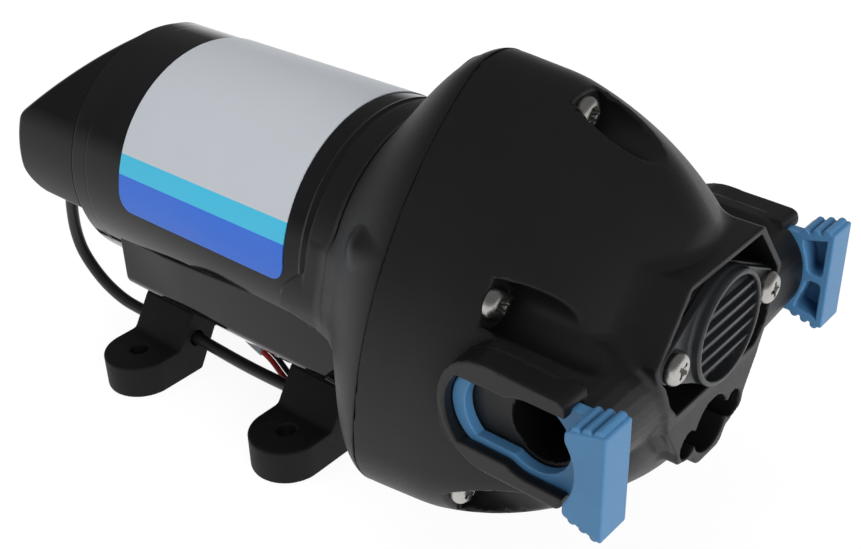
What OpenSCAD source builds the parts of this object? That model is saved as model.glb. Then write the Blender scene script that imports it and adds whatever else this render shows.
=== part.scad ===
// Diaphragm water pump for a caravan: a 12 V motor drives a wobble plate with
// three pistons in a rounded triangular head with two side ports.
// +X runs along the motor axis to the front of the head, +Z is up.
// The origin is the centre of the four foot holes, on the mounting plane.

/* [Motor] */
// Outer diameter of the motor can
can_d = 63.5; // [62:0.5:65]
// Length of the motor can
can_len = 90; // [88:1:96]
// Wall of the motor can
can_wall = 1.5; // [1:0.1:2]
// Height of the motor axis above the mounting plane
axis_h = 52.5; // [51:0.5:60]
// Distance from the front of the can to its rolled bead
bead_back = 7.6; // [5:0.1:12]
// Height of the rolled bead above the can
bead_proud = 0.5; // [0.3:0.1:0.8]
// Width of the rolled bead
bead_w = 1.6; // [1:0.1:3]
// Distance from the front of the can to the label
label_front = 14.1; // [12:0.1:30]
// Distance from the rear of the can to the label
label_back = 19.2; // [10:0.1:24]
// Depth of the label's lower edge below the axis
label_drop = 1; // [0:0.5:8]
// Thickness of the label
label_t = 0.2; // [0.1:0.05:0.4]
// Diameter of the motor shaft
shaft_d = 8; // [6:0.5:8]
// Gap between the armature and the magnets
air_gap = 1.1; // [0.6:0.1:1.6]
// Length of the armature core
armature_len = 40; // [30:1:44]
// Number of armature slots
armature_slots = 10; // [8:1:12]
// Radial thickness of the field magnets
magnet_t = 7.6; // [6:0.1:8]
// Length of the field magnets
magnet_len = 50; // [40:1:54]
// Angle that each magnet spans
magnet_span = 140; // [110:5:150]
// Diameter of the commutator
commutator_d = 19; // [16:0.5:21]
// Length of the commutator
commutator_len = 9; // [8:0.5:10]
// Length of a brush along the shaft
brush_len = 6; // [4:0.5:6.5]
// Width of a brush
brush_w = 5; // [4:0.5:6]
// Number of commutator bars
commutator_bars = 10; // [8:1:12]

/* [Rear cover] */
// Length of the rear cover
hood_len = 24.1; // [18:0.1:30]
// Height of the rear cover's back edge above the axis
hood_back_rise = 11.6; // [6:0.2:16]
// Depth of the rear cover's open lower edge below the axis
hood_drop = 8; // [3:0.5:12]
// Radius of the rear cover's lower rear corner
hood_corner_r = 10; // [8:0.5:10]
// Wall of the rear cover
hood_wall = 2; // [1.4:0.1:2.6]

/* [Base and feet] */
// Distance of the base's sides inside the can's edge
base_inset = 2.75; // [2:0.25:4]
// Distance of the underside's edge inside the base's sides
base_floor_inset = 8; // [6:0.5:10]
// Height of the base's sides above its underside
base_side_h = 9; // [7:0.5:11]
// Thickness of the base under the can
base_wall = 2.75; // [2:0.25:4]
// Gap between the rear of the can and the base
base_back = 12; // [8:1:18]
// Spacing of the foot holes along the motor
foot_dx = 55; // [50:1:58]
// Spacing of the foot holes across the motor
foot_dy = 65; // [62:1:72]
// Width of a foot
foot_w = 18.6; // [16:0.2:20]
// Thickness of a foot's pad
pad_t = 9.3; // [8:0.1:11]
// Diameter of a foot hole
foot_hole_d = 4.8; // [4:0.1:6]
// Thickness of a foot's slanted leg, measured across the pump
leg_t = 11.5; // [9:0.5:13]
// Distance from the foot hole in to the leg
leg_in = 6; // [5.5:0.1:8]

/* [Pump head] */
// Length of the flare from the can to the head flange
flare_len = 16.6; // [15.6:0.1:20]
// Thickness of the head flange
flange_t = 4; // [3:0.25:6]
// Fullness of the flare, larger rises faster from the can
flare_bulge = 1.5; // [1.3:0.1:1.8]
// Distance of the head's corner arcs from its centre
corner_c = 37; // [36.5:0.1:38]
// Radius of the head's corner arcs
corner_r = 16; // [15.5:0.1:17]
// Distance of the head's sides from its centre
side_mid = 41.8; // [41.6:0.1:43]
// Depth of the head's centre below the motor axis
head_drop = 1.5; // [0:0.1:1.6]
// Length of the dome's elliptic profile
dome_len = 57.4; // [56.6:0.1:59]
// Length of the skirt from the head seam to the dome's crease
skirt_len = 15.4; // [12:0.2:18]
// Distance of the corner screws inside the head's corners
corner_screw_in = 7.6; // [7:0.1:9]
// Distance of the side screws inside the head's sides
side_screw_in = 5.8; // [5:0.1:7]
// Distance from the head seam to the screw heads' seat
screw_seat = 21.5; // [20:0.5:22.5]
// Diameter of a screw shank
screw_d = 4; // [3.5:0.1:4]
// Diameter of a screw head
screw_head_d = 7.8; // [7:0.1:8]
// Height of a screw head
screw_head_h = 2.6; // [2:0.1:3]
// Radius of the screwdriver groove in front of each screw
groove_r = 5.2; // [4.6:0.1:5.4]

/* [Ports and clips] */
// Distance from the head seam to the port axis
port_ahead = 41.4; // [40.4:0.1:42]
// Diameter of a port bore
port_d = 14.4; // [13:0.1:15]
// Half height of a port boss
boss_half_h = 12.3; // [12:0.1:13]
// Rise of a port boss's top towards its rear end
boss_rise = 1.2; // [0.8:0.1:1.4]
// Distance from the pump's middle to a port boss's face
boss_reach = 44.5; // [44:0.1:46]
// Distance from the port axis back to the end of the boss
boss_back = 21.5; // [21:0.1:22]
// Distance from the port axis to the front of the boss's outer plate
boss_front = 8; // [7:0.1:8.2]
// Thickness of a slide clip's plate
clip_t = 2.6; // [2:0.1:2.8]
// Wall of the boss outside the clip
lip_t = 2.4; // [1.8:0.1:2.6]
// Half height of a slide clip's plate
clip_half_h = 10; // [9.6:0.1:10.2]
// Gap of the wide end of a clip's keyhole round the port
eye_gap = 0.8; // [0.6:0.1:1.2]
// Half height of the narrow end of a clip's keyhole
clip_neck_half_h = 6.6; // [5.6:0.1:6.8]
// Half height of a clip's grip
grip_half_h = 11.9; // [11:0.1:13]
// Length of a clip's grip
grip_len = 8.6; // [7:0.1:10]
// Thickness of a clip's grip across the pump
grip_t = 8.2; // [7:0.1:9]
// Radius of the ridges on a clip's grip
ridge_r = 0.9; // [0.6:0.1:1]

/* [Pressure switch] */
// Distance from the head seam to the front of the switch box
box_ahead = 55.6; // [55.2:0.1:58]
// Height of the switch axis above the motor axis
switch_rise = 8.2; // [7.6:0.1:8.6]
// Diameter of the ribbed switch cap
cap_d = 24.4; // [23:0.2:25]
// Height of the ribbed switch cap
cap_h = 2.4; // [2:0.1:4]
// Spacing of the two cap screws
cap_screw_dy = 36; // [35:0.1:36.8]
// Thickness of the switch cap's flange
cap_flange_t = 2; // [1.6:0.1:2.4]
// Number of slots in the switch cap
cap_slots = 6; // [5:1:7]
// Travel of the switch plunger
plunger_travel = 1.2; // [0.8:0.1:1.4]

/* [Wobble drive] */
// Tilt of the wobble plate
tilt = 3.5; // [2.5:0.1:3.6]
// Distance of the inlet valves inside the pump chamber's wall
piston_in = 4; // [3:0.1:5]
// Diameter of a piston disc
piston_d = 12; // [10:0.5:12]
// Gap between the wobble plate and the wall round it
wobble_gap = 4.9; // [3:0.1:5.5]
// Thickness of the wobble plate
wobble_t = 7; // [6:0.2:7.4]
// Outer diameter of the cam bearing
bearing_d = 23; // [22:0.2:26]
// Diameter of the tilted cam journal
cam_d = 16; // [15:0.2:17]

/* [Cable] */
// Diameter of the sheathed cable
cable_d = 3.2; // [2.4:0.1:3.4]
// Diameter of the red lead and of the black lead
lead_d = 1.5; // [1.2:0.1:1.6]

/* [Clearances] */
// Gap between a seated piece and its neighbour
seat_gap = 0.05; // [0.03:0.01:0.08]
// Radial gap of a turning fit
running_gap = 0.05; // [0.02:0.01:0.08]
// Gap on each side of a sliding clip
slide_gap = 0.2; // [0.1:0.05:0.3]
// Gap around a screw shank in its clearance hole
screw_gap = 0.2; // [0.1:0.05:0.3]

/* [Hidden] */
$fn = 64;
eps = 0.01;
can_r = can_d / 2;
can_in_r = can_r - can_wall;
can_x0 = -can_len / 2;
can_x1 = can_len / 2;
end_plate_t = 4;
bush_extra = 3;
label_len = can_len - label_back - label_front;
shaft_r = shaft_d / 2;
bush_r = shaft_r + 3;
bearing_r = shaft_r + 7;
armature_x = can_x0 + 43;
armature_d = 2 * (can_in_r - seat_gap - magnet_t - air_gap);
slot_w = 3.2;
slot_depth = 8;
coil_t = 6.8;
coil_gap = 0.1;
coil_r = 2.4;
bar_gap = 0.6;
brush_x = can_x0 + 9;
brush_gap = 0.15;
brush_out = commutator_d / 2 + 9;
holder_t = 2.4;
holder_w = 8;
brush_spring_t = 0.4;
band_proud = 0.25;
seam_x = can_x1 + flare_len + flange_t;
flange_x = seam_x - flange_t;
dome_back = 2.2;
dome_x = seam_x + dome_back;
crease_a = asin((skirt_len - dome_back) / dome_len);
corner_screw_c = corner_c + corner_r - corner_screw_in;
side_screw_c = side_mid - side_screw_in;
dome_steps = 8;
box_x = seam_x + box_ahead;
dome_front = box_x - 3.4;
side_e = (pow(corner_c, 2) - pow(side_mid - corner_r, 2)) / (2 * (side_mid - corner_r) - corner_c);
corner_half = atan2(side_e * sin(60), corner_c + side_e * cos(60));
corner_steps = 8;
side_steps = 6;
screw_x = seam_x + screw_seat;
screw_r = screw_d / 2;
screw_hole_r = screw_r + screw_gap;
pilot_r = screw_r + seat_gap;
screw_len = screw_seat + flange_t + 1;
screw_boss_r = 4.6;
boss_nose = 9;
port_x = seam_x + port_ahead;
port_r = port_d / 2;
slot_out = boss_reach - lip_t;
slot_in = slot_out - clip_t - 2 * slide_gap;
clip_out = slot_out - slide_gap;
slot_half_h = clip_half_h + slide_gap;
slot_back = boss_back - 1.6;
grip_x = port_x + boss_front + 2;
clip_eye_r = port_r + eye_gap;
mouth_half_h = clip_eye_r + 1;
neck_half_h = clip_neck_half_h + 1;
mouth_end_r = 11.5;
neck_end_r = 9;
port_inner_y = 14;
channel_r = 5;
stack_r = side_screw_c - screw_hole_r - 0.8;
diaphragm_t = 2;
diaphragm_x = seam_x;
valve_x = diaphragm_x + diaphragm_t;
valve_t = 10.4;
chamber_x = valve_x + valve_t;
chamber_r = stack_r - 5.5;
chamber_len = screw_seat - diaphragm_t - valve_t + 1;
pivot_x = can_x1 + 9.5;
cavity_x = can_x1 + 4;
cavity_r = stack_r - 4.6;
flap_r = 5;
flap_t = 1.2;
outlet_r = 8;
outlet_t = 1.6;
piston_c = chamber_r - flap_r - piston_in;
wobble_d = 2 * (cavity_r - wobble_gap);
post_h = 4.6;
piston_screw_r = 1.75;
piston_hole_r = piston_screw_r + seat_gap;
piston_head_r = 3;
piston_head_h = 1.2;
collar_t = 2.4;
bearing_gap = 0.3;
piston_x = valve_x + 2;
piston_t = 1.6;
piston_recess = piston_x + 5.4;
switch_bore_r = 6;
switch_x = box_x - 20;
micro_x = box_x - 9;
cap_x = box_x - 0.4;
cap_r = cap_d / 2;
ear_r = 3.8;
ear_slope = asin((cap_r - ear_r) / (cap_screw_dy / 2));
plunger_r = 3;
cap_screw_len = 6;
box_wall = 1.6;
box_half_w = cap_screw_dy / 2 + 6.6;
box_rise = 15.8;
pocket_x = box_x - 9;
box_top_half_w = 14.2;
lobe_drop = 16;
lobe_r = 6.4;
ear_lobe_r = 3.1;
ear_lobe_dy = 8.9;
lobe_depth = 16;
hood_x0 = can_x0 - hood_len;
base_x0 = can_x0 + base_back;
base_half_w = can_r - base_inset;
base_floor_half_w = base_half_w - base_floor_inset;
base_drop = can_r + base_wall;
base_side_drop = base_drop - base_side_h;
base_h = axis_h - base_drop;
foot_end_r = foot_w / 2;
leg_out_y = foot_dy / 2 - leg_in;
leg_top_y = base_floor_half_w;
cable_r = cable_d / 2;
cable_y = 6.1 - leg_out_y;
cable_z = pad_t + 0.8;
gland_z = axis_h - 38.6;
gland_y = -18;
gland_len = 6;
gland_r = cable_r + 1.8;
cable_hole_r = cable_r + seat_gap + 0.1;
lead_pitch = 1.9;
lead_y = -14.6;
lead_end_y = -12;
lead_end_z = axis_h - 39.6;
lead_low = 2;
sleeve_d = lead_pitch + lead_d + 0.4;
sleeve_x = -8;
sleeve_end = [1, lead_y - 0.3, base_h - 7];
lead_hole_r = lead_d / 2 + 0.15;
cable_sides = 8;

// Route of the sheathed cable, from the rear cover through both near feet to the head
cable_route = [
    [can_x0 - 0.1, -21.5, 50], [can_x0 - 4, -21.7, 50], [can_x0 - 8, -23.4, 49.1],
    [can_x0 - 11.3, -24.7, 46.5], [can_x0 - 13, -25, 42], [can_x0 - 14, -25, 36],
    [can_x0 - 14, -25, 30.5], [can_x0 - 12.5, -25, 25.5], [can_x0 - 9.5, -24.7, 21],
    [can_x0 - 5, -24.2, 16.8], [can_x0, -23, 13.2], [can_x0 + 4, -21.6, 11.2], [can_x0 + 9, -20.6, 10.3], [-30, cable_y, cable_z], [-24, cable_y, cable_z], [-18, cable_y, cable_z],
    [-10, cable_y, 9.7], [-2, cable_y, 9.4], [6, cable_y, 9.4], [14, cable_y, 9.7],
    [20, cable_y, cable_z], [26, cable_y, cable_z], [32, cable_y, cable_z],
    [flange_x - 23.6, cable_y, 10.3], [flange_x - 18.6, -19.9, 10.9], [flange_x - 14.1, -19, 12.2],
    [flange_x - 10.1, -18.3, 13.4],
    [flange_x - gland_len, gland_y, gland_z], [flange_x - 1.2, gland_y, gland_z]
];

// Route of the sleeve, from the base's underside
sleeve_route = [
    [sleeve_x, lead_y, base_h - 0.3], [sleeve_x + 0.1, lead_y, base_h - 1.5],
    [sleeve_x + 1.6, lead_y, base_h - 3.6], [sleeve_x + 4.4, lead_y - 0.2, base_h - 5.4], sleeve_end
];

// Route of the red lead, from the sleeve to the head flange
lead_route = [
    sleeve_end + [0.35, 0, -0.13], sleeve_end + [3.2, 0, -1.5], [8, -15, 6.6], [11.5, -15, 4.4],
    [16, -14.8, 2.8], [22, -14.4, lead_low], [30, -13.8, lead_low], [38, -13, 3], [44, -12.4, 5.6],
    [flange_x - 12.6, -12, 8.6], [flange_x - 9.1, lead_end_y, 11.4],
    [flange_x - gland_len, lead_end_y, lead_end_z], [flange_x - 2, lead_end_y, lead_end_z]
];

function unit(v) = v / norm(v);
function dir(a) = [cos(a), sin(a)];

// One rounded corner of an outline, as points along its arc
function corner_arc(a, b, c, r, n) =
    let (u = unit(a - b), v = unit(c - b), half = acos(u * v) / 2)
    let (m = b + unit(u + v) * r / sin(half))
    let (p = b + u * r / tan(half) - m, q = b + v * r / tan(half) - m)
    let (a0 = atan2(p[1], p[0]), sweep = (atan2(q[1], q[0]) - a0 + 540) % 360 - 180)
    [for (i = [0:n]) m + r * dir(a0 + sweep * i / n)];

// Outline with corners [x, y, radius]
function rounded(pts, n = 6) = [
    for (i = [0:len(pts) - 1])
        let (k = len(pts), a = pts[(i + k - 1) % k], b = pts[i], c = pts[(i + 1) % k])
        each (b[2] == 0 ? [[b[0], b[1]]]
            : corner_arc([a[0], a[1]], [b[0], b[1]], [c[0], c[1]], b[2], n))
];

// Rounded triangle of the pump head, apex up, scaled by k, in [y, z]
function head_outline(k) = [
    for (i = [0:2]) let (a = 90 + 120 * i) each concat(
        [for (j = [0:corner_steps])
            k * (corner_c * dir(a) + corner_r * dir(a + corner_half * (2 * j / corner_steps - 1)))],
        [for (j = [1:side_steps - 1])
            k * ((side_mid + side_e) * dir(a + corner_half + (120 - 2 * corner_half) * j / side_steps)
                - side_e * dir(a + 60))]
    )
];

// Ring of the flare between the can and the head seam, w from 0 (round) to 1 (head)
function flare_ring(x, w) = [
    for (p = head_outline(1))
        let (q = (1 - w) * (can_r + band_proud) * unit(p) + w * (p - [0, head_drop]))
        [x, q[0], axis_h + q[1]]
];

// Points of a tube along a path that never runs parallel to Y
function tube_points(path, r) = [
    for (i = [0:len(path) - 1])
        let (t = unit(path[min(i + 1, len(path) - 1)] - path[max(i - 1, 0)]))
        let (u = unit(cross(t, [0, 1, 0])), v = cross(t, u))
        each [for (j = [0:cable_sides - 1])
            path[i] + r * (cos(360 * j / cable_sides) * u + sin(360 * j / cable_sides) * v)]
];

// Triangles of a closed loft of rings with n points each
function loft_faces(rings, n) = concat(
    [[for (j = [0:n - 1]) j]],
    [for (i = [0:rings - 2], j = [0:n - 1])
        let (a = i * n + j, b = i * n + (j + 1) % n) each [[a, a + n, b], [b, a + n, b + n]]],
    [[for (j = [n - 1:-1:0]) (rings - 1) * n + j]]
);

// Moves children to the motor axis at x
module at_axis(x) translate([x, 0, axis_h]) children();

// Turns children so that their +Z runs along +X on the motor axis
module turned(x) at_axis(x) rotate([0, 90, 0]) children();

// Sweeps a [y, z] outline along +X from x
module swept(x, len) at_axis(x) rotate([90, 0, 90]) linear_extrude(len) children();

// Sweeps an [x, z] outline across the pump, from y0 to y1
module across(y0, y1) translate([0, y1, axis_h]) rotate([90, 0, 0]) linear_extrude(y1 - y0) children();

// Ring about the motor axis
module ring(x, len, r_in, r_out) turned(x) difference() {
    cylinder(h = len, r = r_out);
    translate([0, 0, -1]) cylinder(h = len + 2, r = r_in);
}

// Round bar along +X at [y, z] from the motor axis
module bar(x, len, r, y = 0, z = 0) translate([x, y, axis_h + z]) rotate([0, 90, 0]) cylinder(h = len, r = r);

// Places children at the six housing screws, in the head's centre plane at x
module at_screws(x, first = 0, step = 1) for (i = [first:step:5])
    let (c = i % 2 == 0 ? corner_screw_c : side_screw_c, p = c * dir(90 + 60 * i))
        translate([x, p[0], axis_h - head_drop + p[1]]) rotate([0, 90, 0]) children();

// Places children at the three pistons, along +X
module at_pistons() for (i = [0:2]) let (p = piston_c * dir(90 + 120 * i))
    translate([0, p[0], p[1]]) rotate([0, 90, 0]) children();

// Tilts children with the wobble plate about the pivot
module tilted() at_axis(pivot_x) rotate([0, tilt, 0]) children();

// Pan-head screw along -Z from its head's seat, head upwards
module pan_screw(len) {
    translate([0, 0, -len]) cylinder(h = len, r = screw_r);
    rotate_extrude() polygon(rounded([
        [0, 0, 0], [screw_head_d / 2, 0, 0], [screw_head_d / 2, screw_head_h, screw_head_h * 0.7], [0, screw_head_h, 0]
    ]));
}

module motor_can() color("#141416") turned(can_x0) rotate_extrude($fn = 128) polygon([
    [can_in_r, 0], [can_r, 0],
    [can_r, can_len - bead_back - bead_w],
    [can_r + bead_proud, can_len - bead_back - bead_w / 2],
    [can_r, can_len - bead_back],
    [can_r + band_proud, can_len - bead_back + bead_w / 2],
    [can_r + band_proud, can_len], [can_in_r, can_len]
]);

module motor_label() color("#c6cad0") intersection() {
    ring(can_x0 + label_back, label_len, can_r + seat_gap, can_r + seat_gap + label_t);
    across(-can_d, can_d) polygon(rounded([
        [can_x0 + label_back, -label_drop, 4], [can_x0 + label_back + label_len, -label_drop, 4],
        [can_x0 + label_back + label_len, can_d, 0], [can_x0 + label_back, can_d, 0]
    ]));
}

module rear_end_bell() color("#3a3a3c")
    ring(can_x0 + eps, end_plate_t, bush_r + seat_gap, can_in_r - seat_gap);

module rear_bush() color("#b08d57") ring(can_x0 + eps, end_plate_t + bush_extra, shaft_r + running_gap, bush_r);

// Side outline of the rear cover, drawn in by t on its outer edges
module hood_side(t) polygon(rounded([
    [can_x0, can_r - t * 1.4, 0], [can_x0, t - hood_drop, 0],
    [hood_x0 + t, t - hood_drop, hood_corner_r - t], [hood_x0 + t, hood_back_rise - t * 0.4, t > 0 ? 0 : 2.4]
]));

module rear_cover() color("#161618") difference() {
    intersection() {
        turned(hood_x0) cylinder(h = hood_len, r = can_r, $fn = 128);
        across(-can_d, can_d) hood_side(0);
    }
    intersection() {
        turned(hood_x0) cylinder(h = hood_len + 1, r = can_r - hood_wall, $fn = 128);
        translate([eps, 0, 0]) across(-can_d, can_d) {
            hood_side(hood_wall);
            translate([hood_x0 + hood_corner_r - 2, -hood_drop - 1])
                square([hood_len - hood_corner_r + 2, hood_wall + 6]);
        }
    }
}

module front_end_plate() color("#4a4a4d")
    ring(can_x1 - end_plate_t, end_plate_t - eps, bearing_r + seat_gap, can_in_r - seat_gap);

module front_bearing() color("#c9cbd0")
    ring(can_x1 - end_plate_t, end_plate_t + bush_extra, shaft_r + running_gap, bearing_r);

module field_magnets() color("#3b3937") for (side = [0, 180])
    turned(armature_x - magnet_len / 2) rotate(side + 90 - magnet_span / 2)
        rotate_extrude(angle = magnet_span)
            translate([can_in_r - seat_gap - magnet_t, 0]) square([magnet_t, magnet_len]);

module brush_holder() color("#8a6a45") {
    ring(brush_x - holder_t - brush_spring_t, holder_t, commutator_d / 2 + 1.5, can_in_r - seat_gap);
    for (side = [0, 1], up = [-1, 1]) mirror([0, side, 0])
        translate([brush_x - brush_spring_t - eps, commutator_d / 2 + 2, axis_h + up * (brush_w / 2 + 0.9) - 0.8])
            cube([brush_len, holder_w, 1.6]);
}

module brushes() color("#2a2a2a") for (side = [0, 1]) mirror([0, side, 0])
    translate([brush_x, commutator_d / 2 + brush_gap, axis_h - brush_w / 2])
        cube([brush_len, brush_out - commutator_d / 2, brush_w]);

module brush_springs() color("#b9bcc2") for (side = [0, 1]) mirror([0, side, 0])
    translate([brush_x - brush_spring_t, brush_out + brush_gap + seat_gap, axis_h - brush_w * 0.3])
        cube([brush_len, brush_spring_t, brush_w * 0.6]);

module motor_shaft() color("#c4c7cc")
    bar(can_x0 + 1, pivot_x + 7 - can_x0 - 1, shaft_r);

module armature_core() color("#77797d") turned(armature_x - armature_len / 2) difference() {
    cylinder(h = armature_len, r = armature_d / 2);
    translate([0, 0, -1]) cylinder(h = armature_len + 2, r = shaft_r + eps);
    for (i = [0:armature_slots - 1]) rotate(360 * i / armature_slots)
        translate([armature_d / 2 - slot_depth, -slot_w / 2, -1]) cube([slot_depth + 2, slot_w, armature_len + 2]);
}

module armature_windings() color("#a4562a") for (end = [-1, 1])
    turned(armature_x + end * (armature_len / 2 + coil_gap + coil_t / 2) - coil_t / 2)
        rotate_extrude() polygon(rounded([
            [commutator_d / 2 + 0.3, 0, coil_r], [armature_d / 2 - 1.5, 0, coil_r],
            [armature_d / 2 - 1.5, coil_t, coil_r], [commutator_d / 2 + 0.3, coil_t, coil_r]
        ]));

module commutator() color("#b8742f") turned(brush_x - 1) difference() {
    cylinder(h = commutator_len, r = commutator_d / 2);
    translate([0, 0, -1]) cylinder(h = commutator_len + 2, r = shaft_r + eps);
    for (i = [0:commutator_bars - 1]) rotate(360 * i / commutator_bars)
        translate([commutator_d / 2 - 1, -bar_gap / 2, -1]) cube([2, bar_gap, commutator_len + 2]);
}

module drive_cam() color("#9a9ca1") difference() {
    union() {
        tilted() rotate([0, 90, 0]) translate([0, 0, -wobble_t / 2]) cylinder(h = wobble_t, r = cam_d / 2);
        bar(can_x1 + bush_extra + bearing_gap, pivot_x - can_x1 - bush_extra - bearing_gap, shaft_r + collar_t);
    }
    bar(can_x1, 2 * pivot_x, shaft_r + eps);
}

module cam_bearing() color("#c9cbd0") tilted() rotate([0, 90, 0])
    translate([0, 0, -wobble_t / 2 + 0.4]) difference() {
        cylinder(h = wobble_t - 0.8, r = bearing_d / 2);
        translate([0, 0, -1]) cylinder(h = wobble_t + 2, r = cam_d / 2 + running_gap);
    }

module wobble_plate() color("#d8d4c8") tilted() difference() {
    union() {
        rotate([0, 90, 0]) translate([0, 0, -wobble_t / 2]) cylinder(h = wobble_t, r = wobble_d / 2);
        translate([wobble_t / 2, 0, 0]) at_pistons() cylinder(h = post_h, r = piston_d / 2 - 1);
    }
    rotate([0, 90, 0]) translate([0, 0, -10]) cylinder(h = 40, r = bearing_d / 2 + eps);
    at_pistons() translate([0, 0, -10]) cylinder(h = 40, r = piston_hole_r);
    for (i = [0:2]) rotate([60 + 120 * i, 0, 0])
        translate([-10, -4, bearing_d / 2 + 4.5]) cube([20, 8, 20]);
}

module piston_discs() color("#e2ded2") tilted() at_pistons()
    translate([0, 0, piston_x - pivot_x]) difference() {
        cylinder(h = piston_t, r = piston_d / 2);
        translate([0, 0, -1]) cylinder(h = piston_t + 2, r = piston_hole_r);
    }

module piston_screws() color("#c9cbd0") tilted() at_pistons() {
    cylinder(h = piston_x + piston_t - pivot_x + eps, r = piston_screw_r);
    translate([0, 0, piston_x + piston_t - pivot_x + eps]) cylinder(h = piston_head_h, r = piston_head_r);
}

module motor_base() color("#151517") difference() {
    swept(base_x0, can_x1 - base_x0) polygon(rounded([
        [-base_half_w, -sqrt(pow(can_r, 2) - pow(base_half_w, 2)), 0],
        [-base_half_w, -base_side_drop, 0.8], [-base_floor_half_w, -base_drop, 1],
        [base_floor_half_w, -base_drop, 1], [base_half_w, -base_side_drop, 0.8],
        [base_half_w, -sqrt(pow(can_r, 2) - pow(base_half_w, 2)), 0]
    ], 3));
    turned(base_x0 - 1) cylinder(h = can_len, r = can_r + seat_gap, $fn = 128);
    turned(can_x1 - bead_back - bead_w - seat_gap)
        cylinder(h = can_len, r = can_r + bead_proud + seat_gap, $fn = 128);
    // The side walls rise towards the head
    across(-can_d, can_d) polygon([
        [can_x1 - bead_back, -base_drop - 1], [can_x1 - bead_back, -base_side_drop - 1],
        [can_x1 + 1, -base_side_drop + bead_back], [can_x1 + 1, -base_drop - 1]
    ]);
}

// Near foot with its hole at x
module foot(x) color("#1d1d1e") difference() {
    intersection() {
        translate([x - foot_w / 2, 0, 0]) rotate([90, 0, 90]) linear_extrude(foot_w) polygon([
            [-foot_dy / 2 - foot_end_r, 0], [-leg_out_y + 6.5, 0],
            [leg_t - leg_top_y, base_h], [-leg_top_y, base_h],
            [-leg_out_y, pad_t], [-foot_dy / 2 - foot_end_r, pad_t]
        ]);
        linear_extrude(axis_h) union() {
            translate([x, -foot_dy / 2]) circle(r = foot_end_r);
            translate([x - foot_w / 2, -foot_dy / 2]) square([foot_w, foot_dy]);
        }
    }
    translate([x, -foot_dy / 2, -1]) cylinder(h = pad_t + 2, r = foot_hole_d / 2);
    translate([x - foot_w, cable_y, cable_z]) rotate([0, 90, 0]) cylinder(h = 2 * foot_w, r = cable_hole_r + 0.35);
}

module foot_rear_near() foot(-foot_dx / 2);
module foot_rear_far() mirror([0, 1, 0]) foot(-foot_dx / 2);
module foot_front_near() foot(foot_dx / 2);
module foot_front_far() mirror([0, 1, 0]) foot(foot_dx / 2);

// Closed tube along a route
module tube(route, d) polyhedron(
    tube_points(route, d / 2), loft_faces(len(route), cable_sides), convexity = 4
);

module motor_cable() color("#0e0e0f") tube(cable_route, cable_d);
module red_lead() color("#b02020") tube(lead_route, lead_d);
module black_lead() color("#0e0e0f")
    tube([for (p = lead_route) p + [0, lead_pitch, 0]], lead_d);

module lead_sleeve() color("#8d8f92")
    tube([for (p = sleeve_route) p + [0, lead_pitch / 2, 0]], sleeve_d);

// Solid flare from the can to the head seam
module flare() {
    steps = 8;
    rings = [for (i = [0:steps]) let (t = i / steps)
        each flare_ring(can_x1 + eps + t * (seam_x - can_x1 - eps), 1 - pow(1 - t, flare_bulge))];
    polyhedron(rings, loft_faces(steps + 1, len(head_outline(1))), convexity = 4);
}

module lower_housing() color("#222224") difference() {
    union() {
        flare();
        at_screws(flange_x - 2.2, 0, 2) cylinder(h = 3, r = screw_boss_r);
        at_screws(flange_x - boss_nose + screw_boss_r, 1, 2) {
            cylinder(h = boss_nose - screw_boss_r + 1, r = screw_boss_r);
            sphere(r = screw_boss_r);
        }
        bar(flange_x - gland_len, gland_len + 1, gland_r, gland_y, gland_z - axis_h);
        bar(flange_x - gland_len, gland_len + 1, lead_pitch + 1.4, lead_end_y + lead_pitch / 2, lead_end_z - axis_h);
    }
    bar(can_x1 - 1, 10, bearing_r + seat_gap);
    bar(cavity_x, seam_x, cavity_r);
    at_screws(flange_x - 1.2) cylinder(h = 20, r = pilot_r);
    bar(flange_x - gland_len - 1, gland_len, cable_hole_r, gland_y, gland_z - axis_h);
    for (i = [0, 1])
        bar(flange_x - gland_len - 1, gland_len - 0.8, lead_hole_r, lead_end_y + i * lead_pitch, lead_end_z - axis_h);
}

module diaphragm() color("#2f3b36") turned(diaphragm_x) difference() {
    cylinder(h = diaphragm_t, r = stack_r - seat_gap);
    for (i = [0:2]) rotate(120 * i) translate([-piston_c, 0, -1]) cylinder(h = 10, r = piston_screw_r + 1.65);
}

module valve_plate() color("#cfcabb") turned(valve_x) difference() {
    cylinder(h = valve_t, r = stack_r - seat_gap);
    for (i = [0:2]) rotate(120 * i) translate([-piston_c, 0, 0]) {
        translate([0, 0, -1]) cylinder(h = piston_recess - valve_x + 1, r = piston_d / 2 + 2);
        for (j = [-1, 1]) translate([0, 2.4 * j, 0]) cylinder(h = 30, r = 1.1);
    }
    translate([0, 0, valve_t - 2.1]) difference() {
        cylinder(h = 3, r = chamber_r + 4);
        translate([0, 0, -1]) cylinder(h = 5, r = chamber_r + 1.9);
    }
}

module inlet_valves() color("#8c3f2b") turned(chamber_x) for (i = [0:2])
    rotate(120 * i) translate([-piston_c, 0, 0]) cylinder(h = flap_t, r = flap_r);

module outlet_valve() color("#8c3f2b") turned(chamber_x) cylinder(h = outlet_t, r = outlet_r);

module valve_seal() color("#1b1b1b") turned(chamber_x - 1.05)
    rotate_extrude() translate([chamber_r + 2.95, 0]) circle(r = 1, $fn = 24);

// Outline of a port boss in [x, z], ending at x1 with corner radius r
module boss_outline(x1, r) polygon(rounded([
    [port_x - boss_back, -boss_half_h, boss_half_h - 0.5], [x1, -boss_half_h, r],
    [x1, boss_half_h, r], [port_x - boss_back, boss_half_h + boss_rise, boss_half_h - 0.5]
], 10));

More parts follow.
